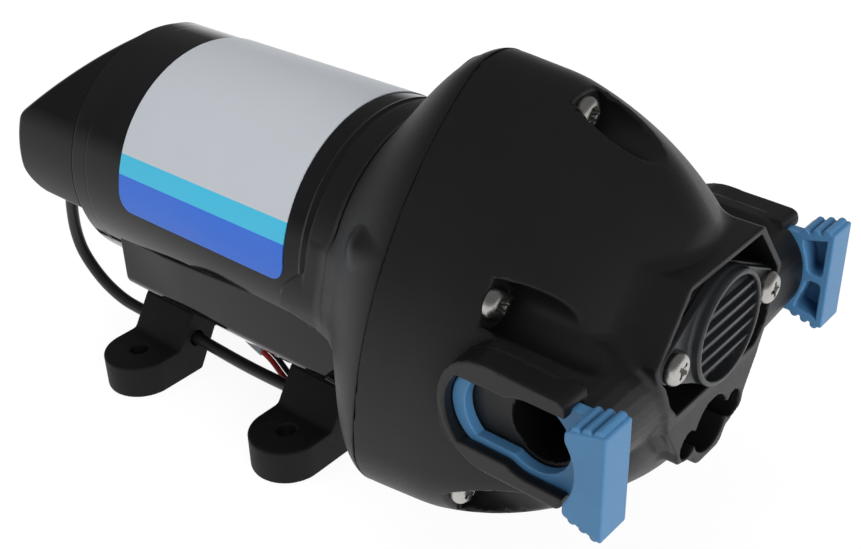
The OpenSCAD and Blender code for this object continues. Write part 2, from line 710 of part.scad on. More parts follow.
// Slot in [x, z] from x0 to the end x1, its rear end an arc of radius end_r
module slot_outline(x0, x1, half_h, end_r) {
    intersection() {
        translate([x0 + end_r, 0]) circle(r = end_r);
        translate([x0 - 1, -half_h]) square([end_r + 1, 2 * half_h]);
    }
    translate([x0 + end_r - eps, -half_h]) square([x1 - x0 - end_r + eps, 2 * half_h]);
}

// Near port boss, solid
module port_boss() {
    across(-slot_in, -10) boss_outline(port_x + boss_half_h + 0.6, boss_half_h - 0.5);
    across(-boss_reach, -slot_in + eps) boss_outline(port_x + boss_front, 2);
}

// Cuts of the near port: bore, clip slot, keyhole mouth and inner channel
module port_cuts() {
    translate([port_x, -port_inner_y, axis_h]) rotate([90, 0, 0]) cylinder(h = slot_in - port_inner_y + 1, r = port_r);
    bar(chamber_x + chamber_len - 1, port_x - chamber_x - chamber_len + 1, channel_r, -port_inner_y);
    across(-slot_out, -slot_in) slot_outline(port_x - slot_back, port_x + 40, slot_half_h, slot_half_h);
    across(-boss_reach - 1, -slot_out + eps) {
        slot_outline(port_x - slot_back + 0.4, port_x, neck_half_h, mouth_end_r);
        slot_outline(port_x - mouth_half_h, port_x + 40, mouth_half_h, mouth_half_h);
    }
}

// Closes a half outline of corners [y, z, radius] with its mirror image
function both_sides(half) = concat(half,
    [for (i = [len(half) - 1:-1:0]) [-half[i][0], half[i][1], half[i][2]]]);

module switch_box() swept(box_x - 18, 18) polygon(rounded(both_sides([
    [box_top_half_w, switch_rise + box_rise, 2], [box_half_w, switch_rise + 2.4, 1.6],
    [box_half_w - 5, switch_rise - 9.4, 4], [18.2, -7.6, 4], [ear_lobe_dy + ear_lobe_r + 1.6, -lobe_drop + 0.4, 2.2],
    [ear_lobe_dy + ear_lobe_r + 1, -lobe_drop - 2.8, 1.8], [lobe_r + 0.4, -lobe_drop - 4.6, 1.8],
    [lobe_r - 1.6, -lobe_drop - lobe_r - box_wall, 3]
])));

// Recess of the switch box round the cap's flange
module box_recess() {
    polygon(rounded(both_sides([
        [box_top_half_w - box_wall * 0.6, switch_rise + box_rise - box_wall, 1.2],
        [box_half_w - box_wall * 1.2, switch_rise + 2.2, 2],
        [box_half_w - 6.2, switch_rise - 8.6, 2], [box_top_half_w + 1, switch_rise - 12.8, 0.6]
    ])));
    for (side = [-1, 1]) translate([side * cap_screw_dy / 2, switch_rise]) circle(r = ear_r + 0.25);
}

// Outline of the cap's flange, grown by t
module cap_flange(t) translate([0, switch_rise]) {
    circle(r = cap_r + t);
    for (side = [-1, 1]) {
        translate([side * cap_screw_dy / 2, 0]) circle(r = ear_r + t);
        polygon([for (p = [[0, cap_r, 1], [cap_screw_dy / 2, ear_r, 1], [cap_screw_dy / 2, ear_r, -1], [0, cap_r, -1]])
            [side * (p[0] + (p[1] + t) * sin(ear_slope)), p[2] * (p[1] + t) * cos(ear_slope)]]);
    }
}

module dome() hull() {
    for (p = concat([[seam_x, 1]], [for (i = [0:dome_steps])
            let (a = crease_a + (asin((dome_front - dome_x) / dome_len) - crease_a) * i / dome_steps)
            [dome_x + dome_len * sin(a), cos(a)]]))
        translate([0, 0, -head_drop]) swept(p[0], 0.02) polygon(head_outline(p[1]));
}

module upper_housing() color("#242426") difference() {
    union() {
        dome();
        port_boss();
        mirror([0, 1, 0]) port_boss();
        switch_box();
    }
    bar(seam_x - 1, chamber_x - seam_x + 1, stack_r);
    bar(chamber_x - eps, chamber_len, chamber_r);
    port_cuts();
    mirror([0, 1, 0]) port_cuts();
    at_screws(seam_x - 1) cylinder(h = screw_seat + 2, r = screw_hole_r);
    at_screws(screw_x) cylinder(h = 60, r = groove_r);
    bar(chamber_x + chamber_len - 1, cap_x, switch_bore_r, 0, switch_rise);
    bar(micro_x, cap_x, cap_r - 3.2, 0, switch_rise);
    swept(cap_x - cap_flange_t - seat_gap, 20) box_recess();
    swept(pocket_x, 20) difference() {
        box_recess();
        cap_flange(0.4);
    }
    for (side = [-1, 1]) bar(micro_x, 20, pilot_r, side * cap_screw_dy / 2, switch_rise);
    bar(box_x - lobe_depth, 20, lobe_r, 0, -lobe_drop);
    for (side = [-1, 1]) bar(box_x - lobe_depth, 20 + eps, ear_lobe_r, side * ear_lobe_dy, -lobe_drop);
}

module housing_screws() color("#c9cbd0") at_screws(screw_x + eps) pan_screw(screw_len);

// Near slide clip: keyhole plate in the boss and a grip in front of it
module clip() color("#2f6fae") difference() {
    union() {
        across(-clip_out, -clip_out + clip_t)
            slot_outline(port_x - slot_back + slide_gap, grip_x + 1, clip_half_h, clip_half_h);
        across(-clip_out + clip_t - grip_t, -clip_out + clip_t) polygon(rounded([
            [grip_x, -grip_half_h + 2.4, 1], [grip_x + grip_len, -grip_half_h, 0.6],
            [grip_x + grip_len, grip_half_h, 0.6], [grip_x, grip_half_h - 2.4, 1]
        ]));
        for (i = [0:2], up = [-1, 1])
            translate([grip_x + 2 + 2.4 * i, -clip_out + clip_t,
                axis_h + up * (grip_half_h - 2.4 * (1 - (2 + 2.4 * i) / grip_len))])
                rotate([90, 0, 0]) cylinder(h = grip_t - 0.6, r = ridge_r, $fn = 24);
    }
    across(-clip_out - 1, -clip_out + clip_t + 1) {
        slot_outline(port_x - slot_back + slide_gap + 3.2, port_x, clip_neck_half_h, neck_end_r);
        translate([port_x, 0]) circle(r = clip_eye_r);
    }
    // The grip's back is hollowed to the shape of the boss, and its inner side is cored
    across(-boss_reach - 10, -clip_out - eps) translate([port_x, 0]) circle(r = boss_front + 4.2);
    for (up = [-1, 1])
        translate([grip_x + 2.6, -clip_out + clip_t - 5.4, axis_h + up * 4.8 - 3.8])
            cube([grip_len - 4.2, 6.4, 7.6]);
}

module near_clip() clip();
module far_clip() mirror([0, 1, 0]) clip();

module switch_cap() color("#2a2a2d") difference() {
    union() {
        swept(cap_x - cap_flange_t, cap_flange_t) cap_flange(0);
        bar(cap_x - eps, cap_h + eps, cap_r, 0, switch_rise);
    }
    for (i = [0:cap_slots - 1]) let (z = (i - (cap_slots - 1) / 2) * 3.2)
        let (w = sqrt(pow(cap_r - 2.2, 2) - pow(abs(z) + 0.7, 2)))
            translate([cap_x + 0.4, -w, axis_h + switch_rise + z - 0.7]) cube([cap_h + 1, 2 * w, 1.4]);
    for (side = [-1, 1])
        bar(cap_x - cap_flange_t - 1, cap_flange_t + 2, screw_hole_r, side * cap_screw_dy / 2, switch_rise);
}

module cap_screws() color("#c9cbd0") for (side = [-1, 1])
    translate([cap_x + eps, side * cap_screw_dy / 2, axis_h + switch_rise]) rotate([0, 90, 0]) pan_screw(cap_screw_len);

module micro_switch() color("#1f2a44")
    translate([micro_x + 1.2, -5.5, axis_h + switch_rise - 3])
        cube([cap_x - cap_flange_t - micro_x - 1.2 - eps, 11, 6]);

module switch_diaphragm() color("#3a2f2a") bar(switch_x, 1.2, switch_bore_r - seat_gap, 0, switch_rise);

module switch_plunger() color("#d8d4c8") {
    bar(switch_x + 1.2 + seat_gap, 2, switch_bore_r - 0.5, 0, switch_rise);
    bar(switch_x + 3.1, micro_x + 1.2 - plunger_travel - 0.4 - switch_x - 3.1, plunger_r, 0, switch_rise);
}

module switch_spring() color("#b9bcc2") translate([0, 0, switch_rise])
    ring(switch_x + 3.2 + seat_gap, 4, plunger_r + 0.4, plunger_r + 1.6);

motor_can();
motor_label();
rear_end_bell();
rear_bush();
rear_cover();
front_end_plate();
front_bearing();
field_magnets();
brush_holder();
brushes();
brush_springs();
motor_shaft();
armature_core();
armature_windings();
commutator();
drive_cam();
cam_bearing();
wobble_plate();
piston_discs();
piston_screws();
motor_base();
foot_rear_near();
foot_rear_far();
foot_front_near();
foot_front_far();
motor_cable();
red_lead();
black_lead();
lead_sleeve();
lower_housing();
diaphragm();
valve_plate();
inlet_valves();
outlet_valve();
valve_seal();
upper_housing();
housing_screws();
near_clip();
far_clip();
switch_cap();
cap_screws();
micro_switch();
switch_plunger();
switch_spring();
switch_diaphragm();
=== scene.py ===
"""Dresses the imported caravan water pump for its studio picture.

Sizes in the classes are millimetres in the part's own frame: X runs along the motor from the rear
cover to the pump head, Y across the two ports, Z up from the floor under the feet. The moulded
pieces are written as distance fields and skinned, so that their fillets run on as they do in a
real moulding. Turned pieces come from profiles, cords from routes, repeated pieces from node trees.
"""

from __future__ import annotations

import logging
import math
from collections.abc import Callable, Sequence
from dataclasses import dataclass
from enum import Enum

import bpy
import numpy as np
from mathutils import Matrix

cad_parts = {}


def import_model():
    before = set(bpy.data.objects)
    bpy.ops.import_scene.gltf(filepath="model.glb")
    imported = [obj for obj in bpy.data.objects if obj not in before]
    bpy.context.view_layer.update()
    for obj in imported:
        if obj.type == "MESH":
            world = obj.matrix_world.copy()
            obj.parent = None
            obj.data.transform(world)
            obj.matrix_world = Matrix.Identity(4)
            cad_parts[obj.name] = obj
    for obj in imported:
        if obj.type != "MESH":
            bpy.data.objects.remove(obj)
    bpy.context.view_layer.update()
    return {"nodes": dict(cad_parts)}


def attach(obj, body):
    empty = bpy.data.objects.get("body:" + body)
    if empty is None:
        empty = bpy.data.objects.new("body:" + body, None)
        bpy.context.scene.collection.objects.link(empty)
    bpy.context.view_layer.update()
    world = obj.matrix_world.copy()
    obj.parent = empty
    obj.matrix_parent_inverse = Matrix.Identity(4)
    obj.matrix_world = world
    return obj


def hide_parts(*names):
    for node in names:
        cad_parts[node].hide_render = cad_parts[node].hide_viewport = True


Array = np.ndarray
Field = Callable[[Array, Array, Array], Array]
Colour = tuple[float, float, float]
Point = tuple[float, float, float]

MM = 0.001
AXIS_H = 52.5
TINY = 1e-9
PULL_ROUNDS = 3
PULL_REACH = 0.02
LEAST_SLOPE = 0.1
LOG = logging.getLogger("pump")


class Body(Enum):
    """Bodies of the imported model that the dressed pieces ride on."""

    PUMP = "pump_body"
    NEAR_CLIP = "near_clip_body"
    FAR_CLIP = "far_clip_body"


def join_round(a: Array, b: Array, r: float) -> Array:
    """Joins two fields with a fillet of radius r.

    Args:
        a: First distance field.
        b: Second distance field.
        r: Fillet radius.

    Returns:
        Distance field of the union.
    """
    u = np.maximum(r - a, 0.0)
    v = np.maximum(r - b, 0.0)
    return np.maximum(r, np.minimum(a, b)) - np.sqrt(u * u + v * v)


def meet_round(a: Array, b: Array, r: float) -> Array:
    """Intersects two fields and rounds the edge by r.

    Args:
        a: First distance field.
        b: Second distance field.
        r: Edge radius.

    Returns:
        Distance field of the intersection.
    """
    u = np.maximum(r + a, 0.0)
    v = np.maximum(r + b, 0.0)
    return np.minimum(-r, np.maximum(a, b)) + np.sqrt(u * u + v * v)


def cut_round(a: Array, b: Array, r: float) -> Array:
    """Cuts field b out of field a and rounds the edge by r."""
    return meet_round(a, -b, r)


def disc(u: Array, v: Array, r: float) -> Array:
    """Distance to a circle of radius r about the origin of (u, v)."""
    return np.sqrt(u * u + v * v) - r


def slab(v: Array, low: float, high: float) -> Array:
    """Distance to the layer between low and high."""
    return np.maximum(low - v, v - high)


def ease(t: Array) -> Array:
    """Smooth step from nought to one, held at its ends."""
    t = np.clip(t, 0.0, 1.0)
    return t * t * (3.0 - 2.0 * t)


def open_slot(u: Array, v: Array, start: float, half: float, end_r: float) -> Array:
    """Distance to a slot that starts at u = start with an arc and runs on along u.

    Args:
        u: Coordinate along the slot.
        v: Coordinate across the slot.
        start: Where the slot starts.
        half: Half width of the slot.
        end_r: Radius of the arc at its start, at least the half width.

    Returns:
        Signed distance.
    """
    side = np.abs(v) - half + 0.0 * u
    return np.where(u < start + end_r, np.maximum(side, disc(u - start - end_r, v, end_r)), side)


def rounded_outline(corners: Sequence[tuple[float, float, float]], steps: int = 8) -> Array:
    """Turns corners with radii into the points of a closed outline.

    Args:
        corners: Corners as (u, v, radius).
        steps: Steps along each corner's arc.

    Returns:
        Array of points, one row each.
    """
    points: list[Array] = []
    count = len(corners)
    for i, (u, v, r) in enumerate(corners):
        here = np.array((u, v), float)
        back = np.array(corners[i - 1][:2], float) - here
        ahead = np.array(corners[(i + 1) % count][:2], float) - here
        back /= np.linalg.norm(back)
        ahead /= np.linalg.norm(ahead)
        if r <= 0.0:
            points.append(here)
            continue
        half = 0.5 * math.acos(float(np.clip(back @ ahead, -1.0, 1.0)))
        middle = back + ahead
        centre = here + middle / np.linalg.norm(middle) * r / math.sin(half)
        p = here + back * r / math.tan(half) - centre
        q = here + ahead * r / math.tan(half) - centre
        start = math.atan2(p[1], p[0])
        sweep = (math.atan2(q[1], q[0]) - start + 3.0 * math.pi) % (2.0 * math.pi) - math.pi
        for k in range(steps + 1):
            turn = start + sweep * k / steps
            points.append(centre + r * np.array((math.cos(turn), math.sin(turn))))
    return np.array(points)


def both_sides(half: Sequence[tuple[float, float, float]]) -> list[tuple[float, float, float]]:
    """Closes a half outline with its mirror image."""
    return list(half) + [(-u, v, r) for u, v, r in reversed(half)]


def outline_distance(u: Array, v: Array, points: Array) -> Array:
    """Signed distance to a closed outline, negative inside.

    Args:
        u: First coordinate.
        v: Second coordinate.
        points: Outline points, one row each.

    Returns:
        Signed distance.
    """
    u, v = np.broadcast_arrays(u, v)
    nearest = np.full(u.shape, np.inf)
    sign = np.ones(u.shape)
    for i, start in enumerate(points):
        end = points[i - 1]
        eu, ev = end - start
        wu, wv = u - start[0], v - start[1]
        along = np.clip((wu * eu + wv * ev) / (eu * eu + ev * ev + 1e-12), 0.0, 1.0)
        nearest = np.minimum(nearest, (wu - eu * along) ** 2 + (wv - ev * along) ** 2)
        above = v >= start[1]
        below = v < end[1]
        left = eu * wv > ev * wu
        flip = (above & below & left) | ~(above | below | left)
        sign = np.where(flip, -sign, sign)
    return sign * np.sqrt(nearest)


@dataclass
class Skin:
    """Mesh data of one piece in millimetres."""

    points: Array
    faces: Array | list[tuple[int, ...]]
    normals: Array | None = None

    def mirrored(self) -> Skin:
        """Mirror image in Y, with its faces turned to point outwards again."""
        flip = np.array((1.0, -1.0, 1.0))
        normals = None if self.normals is None else self.normals * flip
        faces = [tuple(reversed(f)) for f in np.asarray(self.faces).tolist()]
        return Skin(self.points * flip, faces, normals)


def slope_of(shape: Field, points: Array, reach: float) -> Array:
    """Gradient of a field at points, by central differences.

    Args:
        shape: Distance field.
        points: Points, one row each.
        reach: Half of the difference step.

    Returns:
        Gradient, one row for each point.
    """
    columns = []
    for axis in range(3):
        step = np.zeros(3)
        step[axis] = reach
        columns.append((shape(*(points + step).T) - shape(*(points - step).T)) / (2.0 * reach))
    return np.stack(columns, 1)


def even_axes(low: Sequence[float], high: Sequence[float], step: float) -> list[Array]:
    """Grid lines of one spacing along the three axes.

    Args:
        low: Lowest corner of the box.
        high: Highest corner of the box.
        step: Spacing.

    Returns:
        One array of grid lines for each axis.
    """
    return [a + step * np.arange(math.ceil((b - a) / step) + 1) for a, b in zip(low, high)]


def graded_axis(start: float, *spans: tuple[float, float]) -> Array:
    """Grid lines whose spacing changes from span to span.

    Args:
        start: First line.
        spans: Each span's end and about its spacing.

    Returns:
        The grid lines.
    """
    lines = [np.array([start])]
    for end, step in spans:
        steps = math.ceil((end - start) / step - 1e-6)
        lines.append(np.linspace(start, end, steps + 1)[1:])
        start = end
    return np.concatenate(lines)


CORNERS = [(i, j, k) for i in (0, 1) for j in (0, 1) for k in (0, 1)]


def cell_corner(grid: Array, shift: tuple[int, int, int]) -> Array:
    """One corner of every cell of a grid."""
    return grid[tuple(slice(s, size - 1 + s) for s, size in zip(shift, grid.shape))]


def first_points(values: Array, crossed: Array, axes: Sequence[Array]) -> tuple[Array, Array]:
    """First guess of the surface in each crossed cell, the mean of the crossings on its edges.

    Args:
        values: Field at the grid's corners.
        crossed: Whether the surface crosses each cell.
        axes: Grid lines along x, y and z.

    Returns:
        One point for each crossed cell, and how far each may move.
    """
    cells = np.argwhere(crossed)
    corner = np.stack([cell_corner(values, s)[crossed] for s in CORNERS], 1)
    places = np.array(CORNERS, float)
    total = np.zeros((len(cells), 3))
    hits = np.zeros(len(cells))
    for a in range(8):
        for b in range(a + 1, 8):
            if np.abs(places[a] - places[b]).sum() != 1.0:
                continue
            change = (corner[:, a] < 0.0) != (corner[:, b] < 0.0)
            gap = np.where(change, corner[:, a] - corner[:, b], 1.0)
            part = np.where(change, corner[:, a] / gap, 0.0)[:, None]
            total += change[:, None] * (places[a] + part * (places[b] - places[a]))
            hits += change
    widths = np.stack([np.diff(axes[i])[cells[:, i]] for i in range(3)], 1)
    low = np.stack([axes[i][cells[:, i]] for i in range(3)], 1)
    return low + widths * (total / hits[:, None]), 0.5 * widths.min(1)


def cell_quads(inside: Array, number: Array) -> Array:
    """Quads round every grid edge that the surface crosses.

    Args:
        inside: Whether each corner of the grid is inside.
        number: Number of each cell's point.

    Returns:
        Quads of point numbers, one row each, facing out.
    """
    quads = []
    for axis in range(3):
        u, v = (axis + 1) % 3, (axis + 2) % 3
        lower = [slice(1, -1)] * 3
        upper = [slice(1, -1)] * 3
        lower[axis], upper[axis] = slice(0, -1), slice(1, None)
        first, second = inside[tuple(lower)], inside[tuple(upper)]
        where = np.argwhere(first != second)
        solid_below = first[tuple(where.T)]
        where[:, u] += 1
        where[:, v] += 1
        ring = []
        for du, dv in ((1, 1), (0, 1), (0, 0), (1, 0)):
            cell = where.copy()
            cell[:, u] -= du
            cell[:, v] -= dv
            ring.append(number[tuple(cell.T)])
        quad = np.stack(ring, 1)
        quads.append(np.where(solid_below[:, None], quad, quad[:, ::-1]))
    return np.concatenate(quads)


def skin_field(shape: Field, axes: Sequence[Array]) -> Skin:
    """Skins a distance field with quads, one point for each cell that the surface crosses.

    Args:
        shape: Distance field that takes broadcastable x, y and z.
        axes: Grid lines along x, y and z.

    Returns:
        The skin, with normals from the field's own slope.
    """
    x, y, z = axes
    values = shape(x[:, None, None], y[None, :, None], z[None, None, :])
    values = np.broadcast_to(values, (len(x), len(y), len(z)))
    inside = values < 0.0
    held = sum(cell_corner(inside, s).astype(np.int8) for s in CORNERS)
    crossed = (held > 0) & (held < len(CORNERS))
    number = np.full(crossed.shape, -1, np.int64)
    number[crossed] = np.arange(crossed.sum())
    points, room = first_points(values, crossed, axes)
    for _ in range(PULL_ROUNDS):
        slope = slope_of(shape, points, PULL_REACH)
        size = np.maximum((slope * slope).sum(1), LEAST_SLOPE)
        move = slope * (shape(*points.T) / size)[:, None]
        length = np.linalg.norm(move, axis=1)
        points = points - move * np.minimum(1.0, room / np.maximum(length, TINY))[:, None]
    slope = slope_of(shape, points, 0.5 * float(room.min()))
    normals = slope / np.maximum(np.linalg.norm(slope, axis=1), TINY)[:, None]
    return Skin(points, cell_quads(inside, number), normals)


def lathe(profile: Sequence[tuple[float, float]], sides: int) -> Skin:
    """Turns a closed profile of (x, radius) round the motor axis.

    Args:
        profile: Points of the profile, running clockwise in (x, radius).
        sides: Steps of the turn.

    Returns:
        The skin.
    """
    turn = 2.0 * math.pi * np.arange(sides) / sides
    rows = [np.stack([np.full(sides, x), r * np.sin(turn), AXIS_H + r * np.cos(turn)], 1) for x, r in profile]
    count = len(profile)
    faces = []
    for i in range(count):
        j = (i + 1) % count
        for k in range(sides):
            m = (k + 1) % sides
            faces.append((i * sides + k, i * sides + m, j * sides + m, j * sides + k))
    return Skin(np.concatenate(rows), faces)


def smooth_route(route: Sequence[Point], steps: int = 10) -> Array:
    """Runs a smooth curve through the points of a route.

    Args:
        route: Points of the route.
        steps: Steps between two points.

    Returns:
        Points of the curve, one row each.
    """
    knots = np.array(route, float)
    gaps = np.maximum(np.linalg.norm(np.diff(knots, axis=0), axis=1), 1e-6) ** 0.5
    times = np.concatenate([[0.0], np.cumsum(gaps)])
    tangents = np.zeros_like(knots)
    speed = np.diff(knots, axis=0) / gaps[:, None]
    share = (gaps[:-1] / (gaps[:-1] + gaps[1:]))[:, None]
    tangents[1:-1] = (1.0 - share) * speed[:-1] + share * speed[1:]
    tangents[0], tangents[-1] = speed[0], speed[-1]
    curve = []
    for i in range(len(knots) - 1):
        h = times[i + 1] - times[i]
        for k in range(steps):
            t = k / steps
            curve.append(
                (2 * t**3 - 3 * t**2 + 1) * knots[i]
                + (t**3 - 2 * t**2 + t) * h * tangents[i]
                + (3 * t**2 - 2 * t**3) * knots[i + 1]
                + (t**3 - t**2) * h * tangents[i + 1]
            )
    curve.append(knots[-1])
    return np.array(curve)


def tube(path: Array, radius: float, sides: int = 20) -> Skin:
    """Closed tube of one radius along a path.

    Args:
        path: Points of the path, one row each.
        radius: Radius of the tube.
        sides: Sides of the tube.

    Returns:
        The skin.
    """
    along = np.gradient(path, axis=0)
    along /= np.linalg.norm(along, axis=1)[:, None]
    across = np.cross(along, (0.0, 1.0, 0.0))
    across /= np.linalg.norm(across, axis=1)[:, None]
    third = np.cross(along, across)
    turn = 2.0 * math.pi * np.arange(sides) / sides
    rings = [
        p + radius * (np.cos(turn)[:, None] * a + np.sin(turn)[:, None] * b)
        for p, a, b in zip(path, across, third)
    ]
    faces: list[tuple[int, ...]] = []
    for i in range(len(path) - 1):
        for k in range(sides):
            m = (k + 1) % sides
            faces.append((i * sides + k, i * sides + m, (i + 1) * sides + m, (i + 1) * sides + k))
    last = (len(path) - 1) * sides
    faces.append(tuple(range(sides - 1, -1, -1)))
    faces.append(tuple(range(last, last + sides)))
    return Skin(np.concatenate(rings), faces)


def mesh_object(name: str, skin: Skin, sharp_angle: float | None = None) -> bpy.types.Object:
    """Makes a smooth-shaded object from a skin.

    Args:
        name: Name of the piece.
        skin: Mesh data in millimetres.
        sharp_angle: Angle in degrees past which an edge stays sharp, where the skin has no normals.

    Returns:
        The new object, linked to the scene, with its place in its mesh.
    """
    mesh = bpy.data.meshes.new(name)
    faces = skin.faces.tolist() if isinstance(skin.faces, np.ndarray) else skin.faces
    mesh.from_pydata((skin.points * MM).tolist(), [], faces)
    mesh.update()
    mesh.shade_smooth()
    if skin.normals is not None:
        mesh.normals_split_custom_set_from_vertices(skin.normals.tolist())
    elif sharp_angle is not None:
        mesh.set_sharp_from_angle(angle=math.radians(sharp_angle))
    obj = bpy.data.objects.new(name, mesh)
    bpy.context.scene.collection.objects.link(obj)
    return obj


class ShaderKit:
    """Shader node groups that the finishes share, each built once."""

    def __init__(self) -> None:
        """Builds the groups."""
        self.grain = self._grain()
        self.specks = self._specks()
        self.streaks = self._streaks()

    @staticmethod
    def _group(name: str, values: dict[str, float], outputs: Sequence[str]) -> bpy.types.NodeTree:
        """New shader group with a vector and some values to take.

        Args:
            name: Name of the group.
            values: Value inputs and their defaults.
            outputs: Names of the value outputs.

        Returns:
            The group with its input and output nodes.
        """
        group = bpy.data.node_groups.new(name, "ShaderNodeTree")
        group.interface.new_socket("Vector", in_out="INPUT", socket_type="NodeSocketVector")
        for label, default in values.items():
            socket = group.interface.new_socket(label, in_out="INPUT", socket_type="NodeSocketFloat")
            socket.default_value = default
        for label in outputs:
            group.interface.new_socket(label, in_out="OUTPUT", socket_type="NodeSocketFloat")
        group.nodes.new("NodeGroupInput")
        group.nodes.new("NodeGroupOutput")
        return group

    @staticmethod
    def _ends(group: bpy.types.NodeTree) -> tuple[bpy.types.Node, bpy.types.Node]:
        """Input and output nodes of a group."""
        return group.nodes["Group Input"], group.nodes["Group Output"]

    @staticmethod
    def _math(group: bpy.types.NodeTree, operation: str, *values: object) -> bpy.types.NodeSocket:
        """Adds a math node.

        Args:
            group: Tree to add it to.
            operation: Operation of the node.
            values: Sockets or numbers for its inputs.

        Returns:
            The node's output.
        """
        node = group.nodes.new("ShaderNodeMath")
        node.operation = operation
        for i, value in enumerate(values):
            if isinstance(value, bpy.types.NodeSocket):
                group.links.new(value, node.inputs[i])
            else:
                node.inputs[i].default_value = value
        return node.outputs[0]

    def _scaled(self, group: bpy.types.NodeTree, size: bpy.types.NodeSocket) -> bpy.types.NodeSocket:
        """Vector input of a group in units of a size in millimetres."""
        enter, _ = self._ends(group)
        scale = group.nodes.new("ShaderNodeVectorMath")
        scale.operation = "SCALE"
        group.links.new(enter.outputs["Vector"], scale.inputs[0])
        group.links.new(self._math(group, "DIVIDE", 1.0 / MM, size), scale.inputs["Scale"])
        return scale.outputs[0]

    def _grain(self) -> bpy.types.NodeTree:
        """Fine moulded grain with a slow drift of tone."""
        group = self._group("moulded_grain", {"Size": 0.5, "Drift": 18.0}, ["Height", "Tone"])
        enter, leave = self._ends(group)
        for size, detail, output in (("Size", 3.0, "Height"), ("Drift", 4.0, "Tone")):
            noise = group.nodes.new("ShaderNodeTexNoise")
            noise.inputs["Scale"].default_value = 1.0
            noise.inputs["Detail"].default_value = detail
            noise.inputs["Roughness"].default_value = 0.6
            group.links.new(self._scaled(group, enter.outputs[size]), noise.inputs["Vector"])
            group.links.new(noise.outputs["Fac"], leave.inputs[output])
        return group

    def _specks(self) -> bpy.types.NodeTree:
        """Sparse specks of settled dust."""
        least, spread = 0.012, 0.03
        group = self._group("settled_specks", {"Spacing": 4.0, "Share": 0.2}, ["Mask"])
        enter, leave = self._ends(group)
        cells = group.nodes.new("ShaderNodeTexVoronoi")
        cells.inputs["Scale"].default_value = 1.0
        group.links.new(self._scaled(group, enter.outputs["Spacing"]), cells.inputs["Vector"])
        split = group.nodes.new("ShaderNodeSeparateColor")
        group.links.new(cells.outputs["Color"], split.inputs[0])
        chosen = self._math(group, "LESS_THAN", split.outputs[0], enter.outputs["Share"])
        size = self._math(group, "MULTIPLY_ADD", split.outputs[1], spread, least)
        near = self._math(group, "LESS_THAN", cells.outputs["Distance"], size)
        group.links.new(self._math(group, "MULTIPLY", chosen, near), leave.inputs["Mask"])
        return group

    def _streaks(self) -> bpy.types.NodeTree:
        """Fine drawn lines along X, as on turned, drawn or extruded pieces."""
        group = self._group("drawn_streaks", {"Across": 0.15, "Along": 6.0}, ["Height"])
        enter, leave = self._ends(group)
        split = group.nodes.new("ShaderNodeSeparateXYZ")
        group.links.new(enter.outputs["Vector"], split.inputs[0])
        merge = group.nodes.new("ShaderNodeCombineXYZ")
        for axis, size in enumerate(("Along", "Across", "Across")):
            scale = self._math(group, "DIVIDE", 1.0 / MM, enter.outputs[size])
            group.links.new(self._math(group, "MULTIPLY", split.outputs[axis], scale), merge.inputs[axis])
        noise = group.nodes.new("ShaderNodeTexNoise")
        noise.inputs["Scale"].default_value = 1.0
        noise.inputs["Detail"].default_value = 2.0
        group.links.new(merge.outputs[0], noise.inputs["Vector"])
        group.links.new(noise.outputs["Fac"], leave.inputs["Height"])
        return group


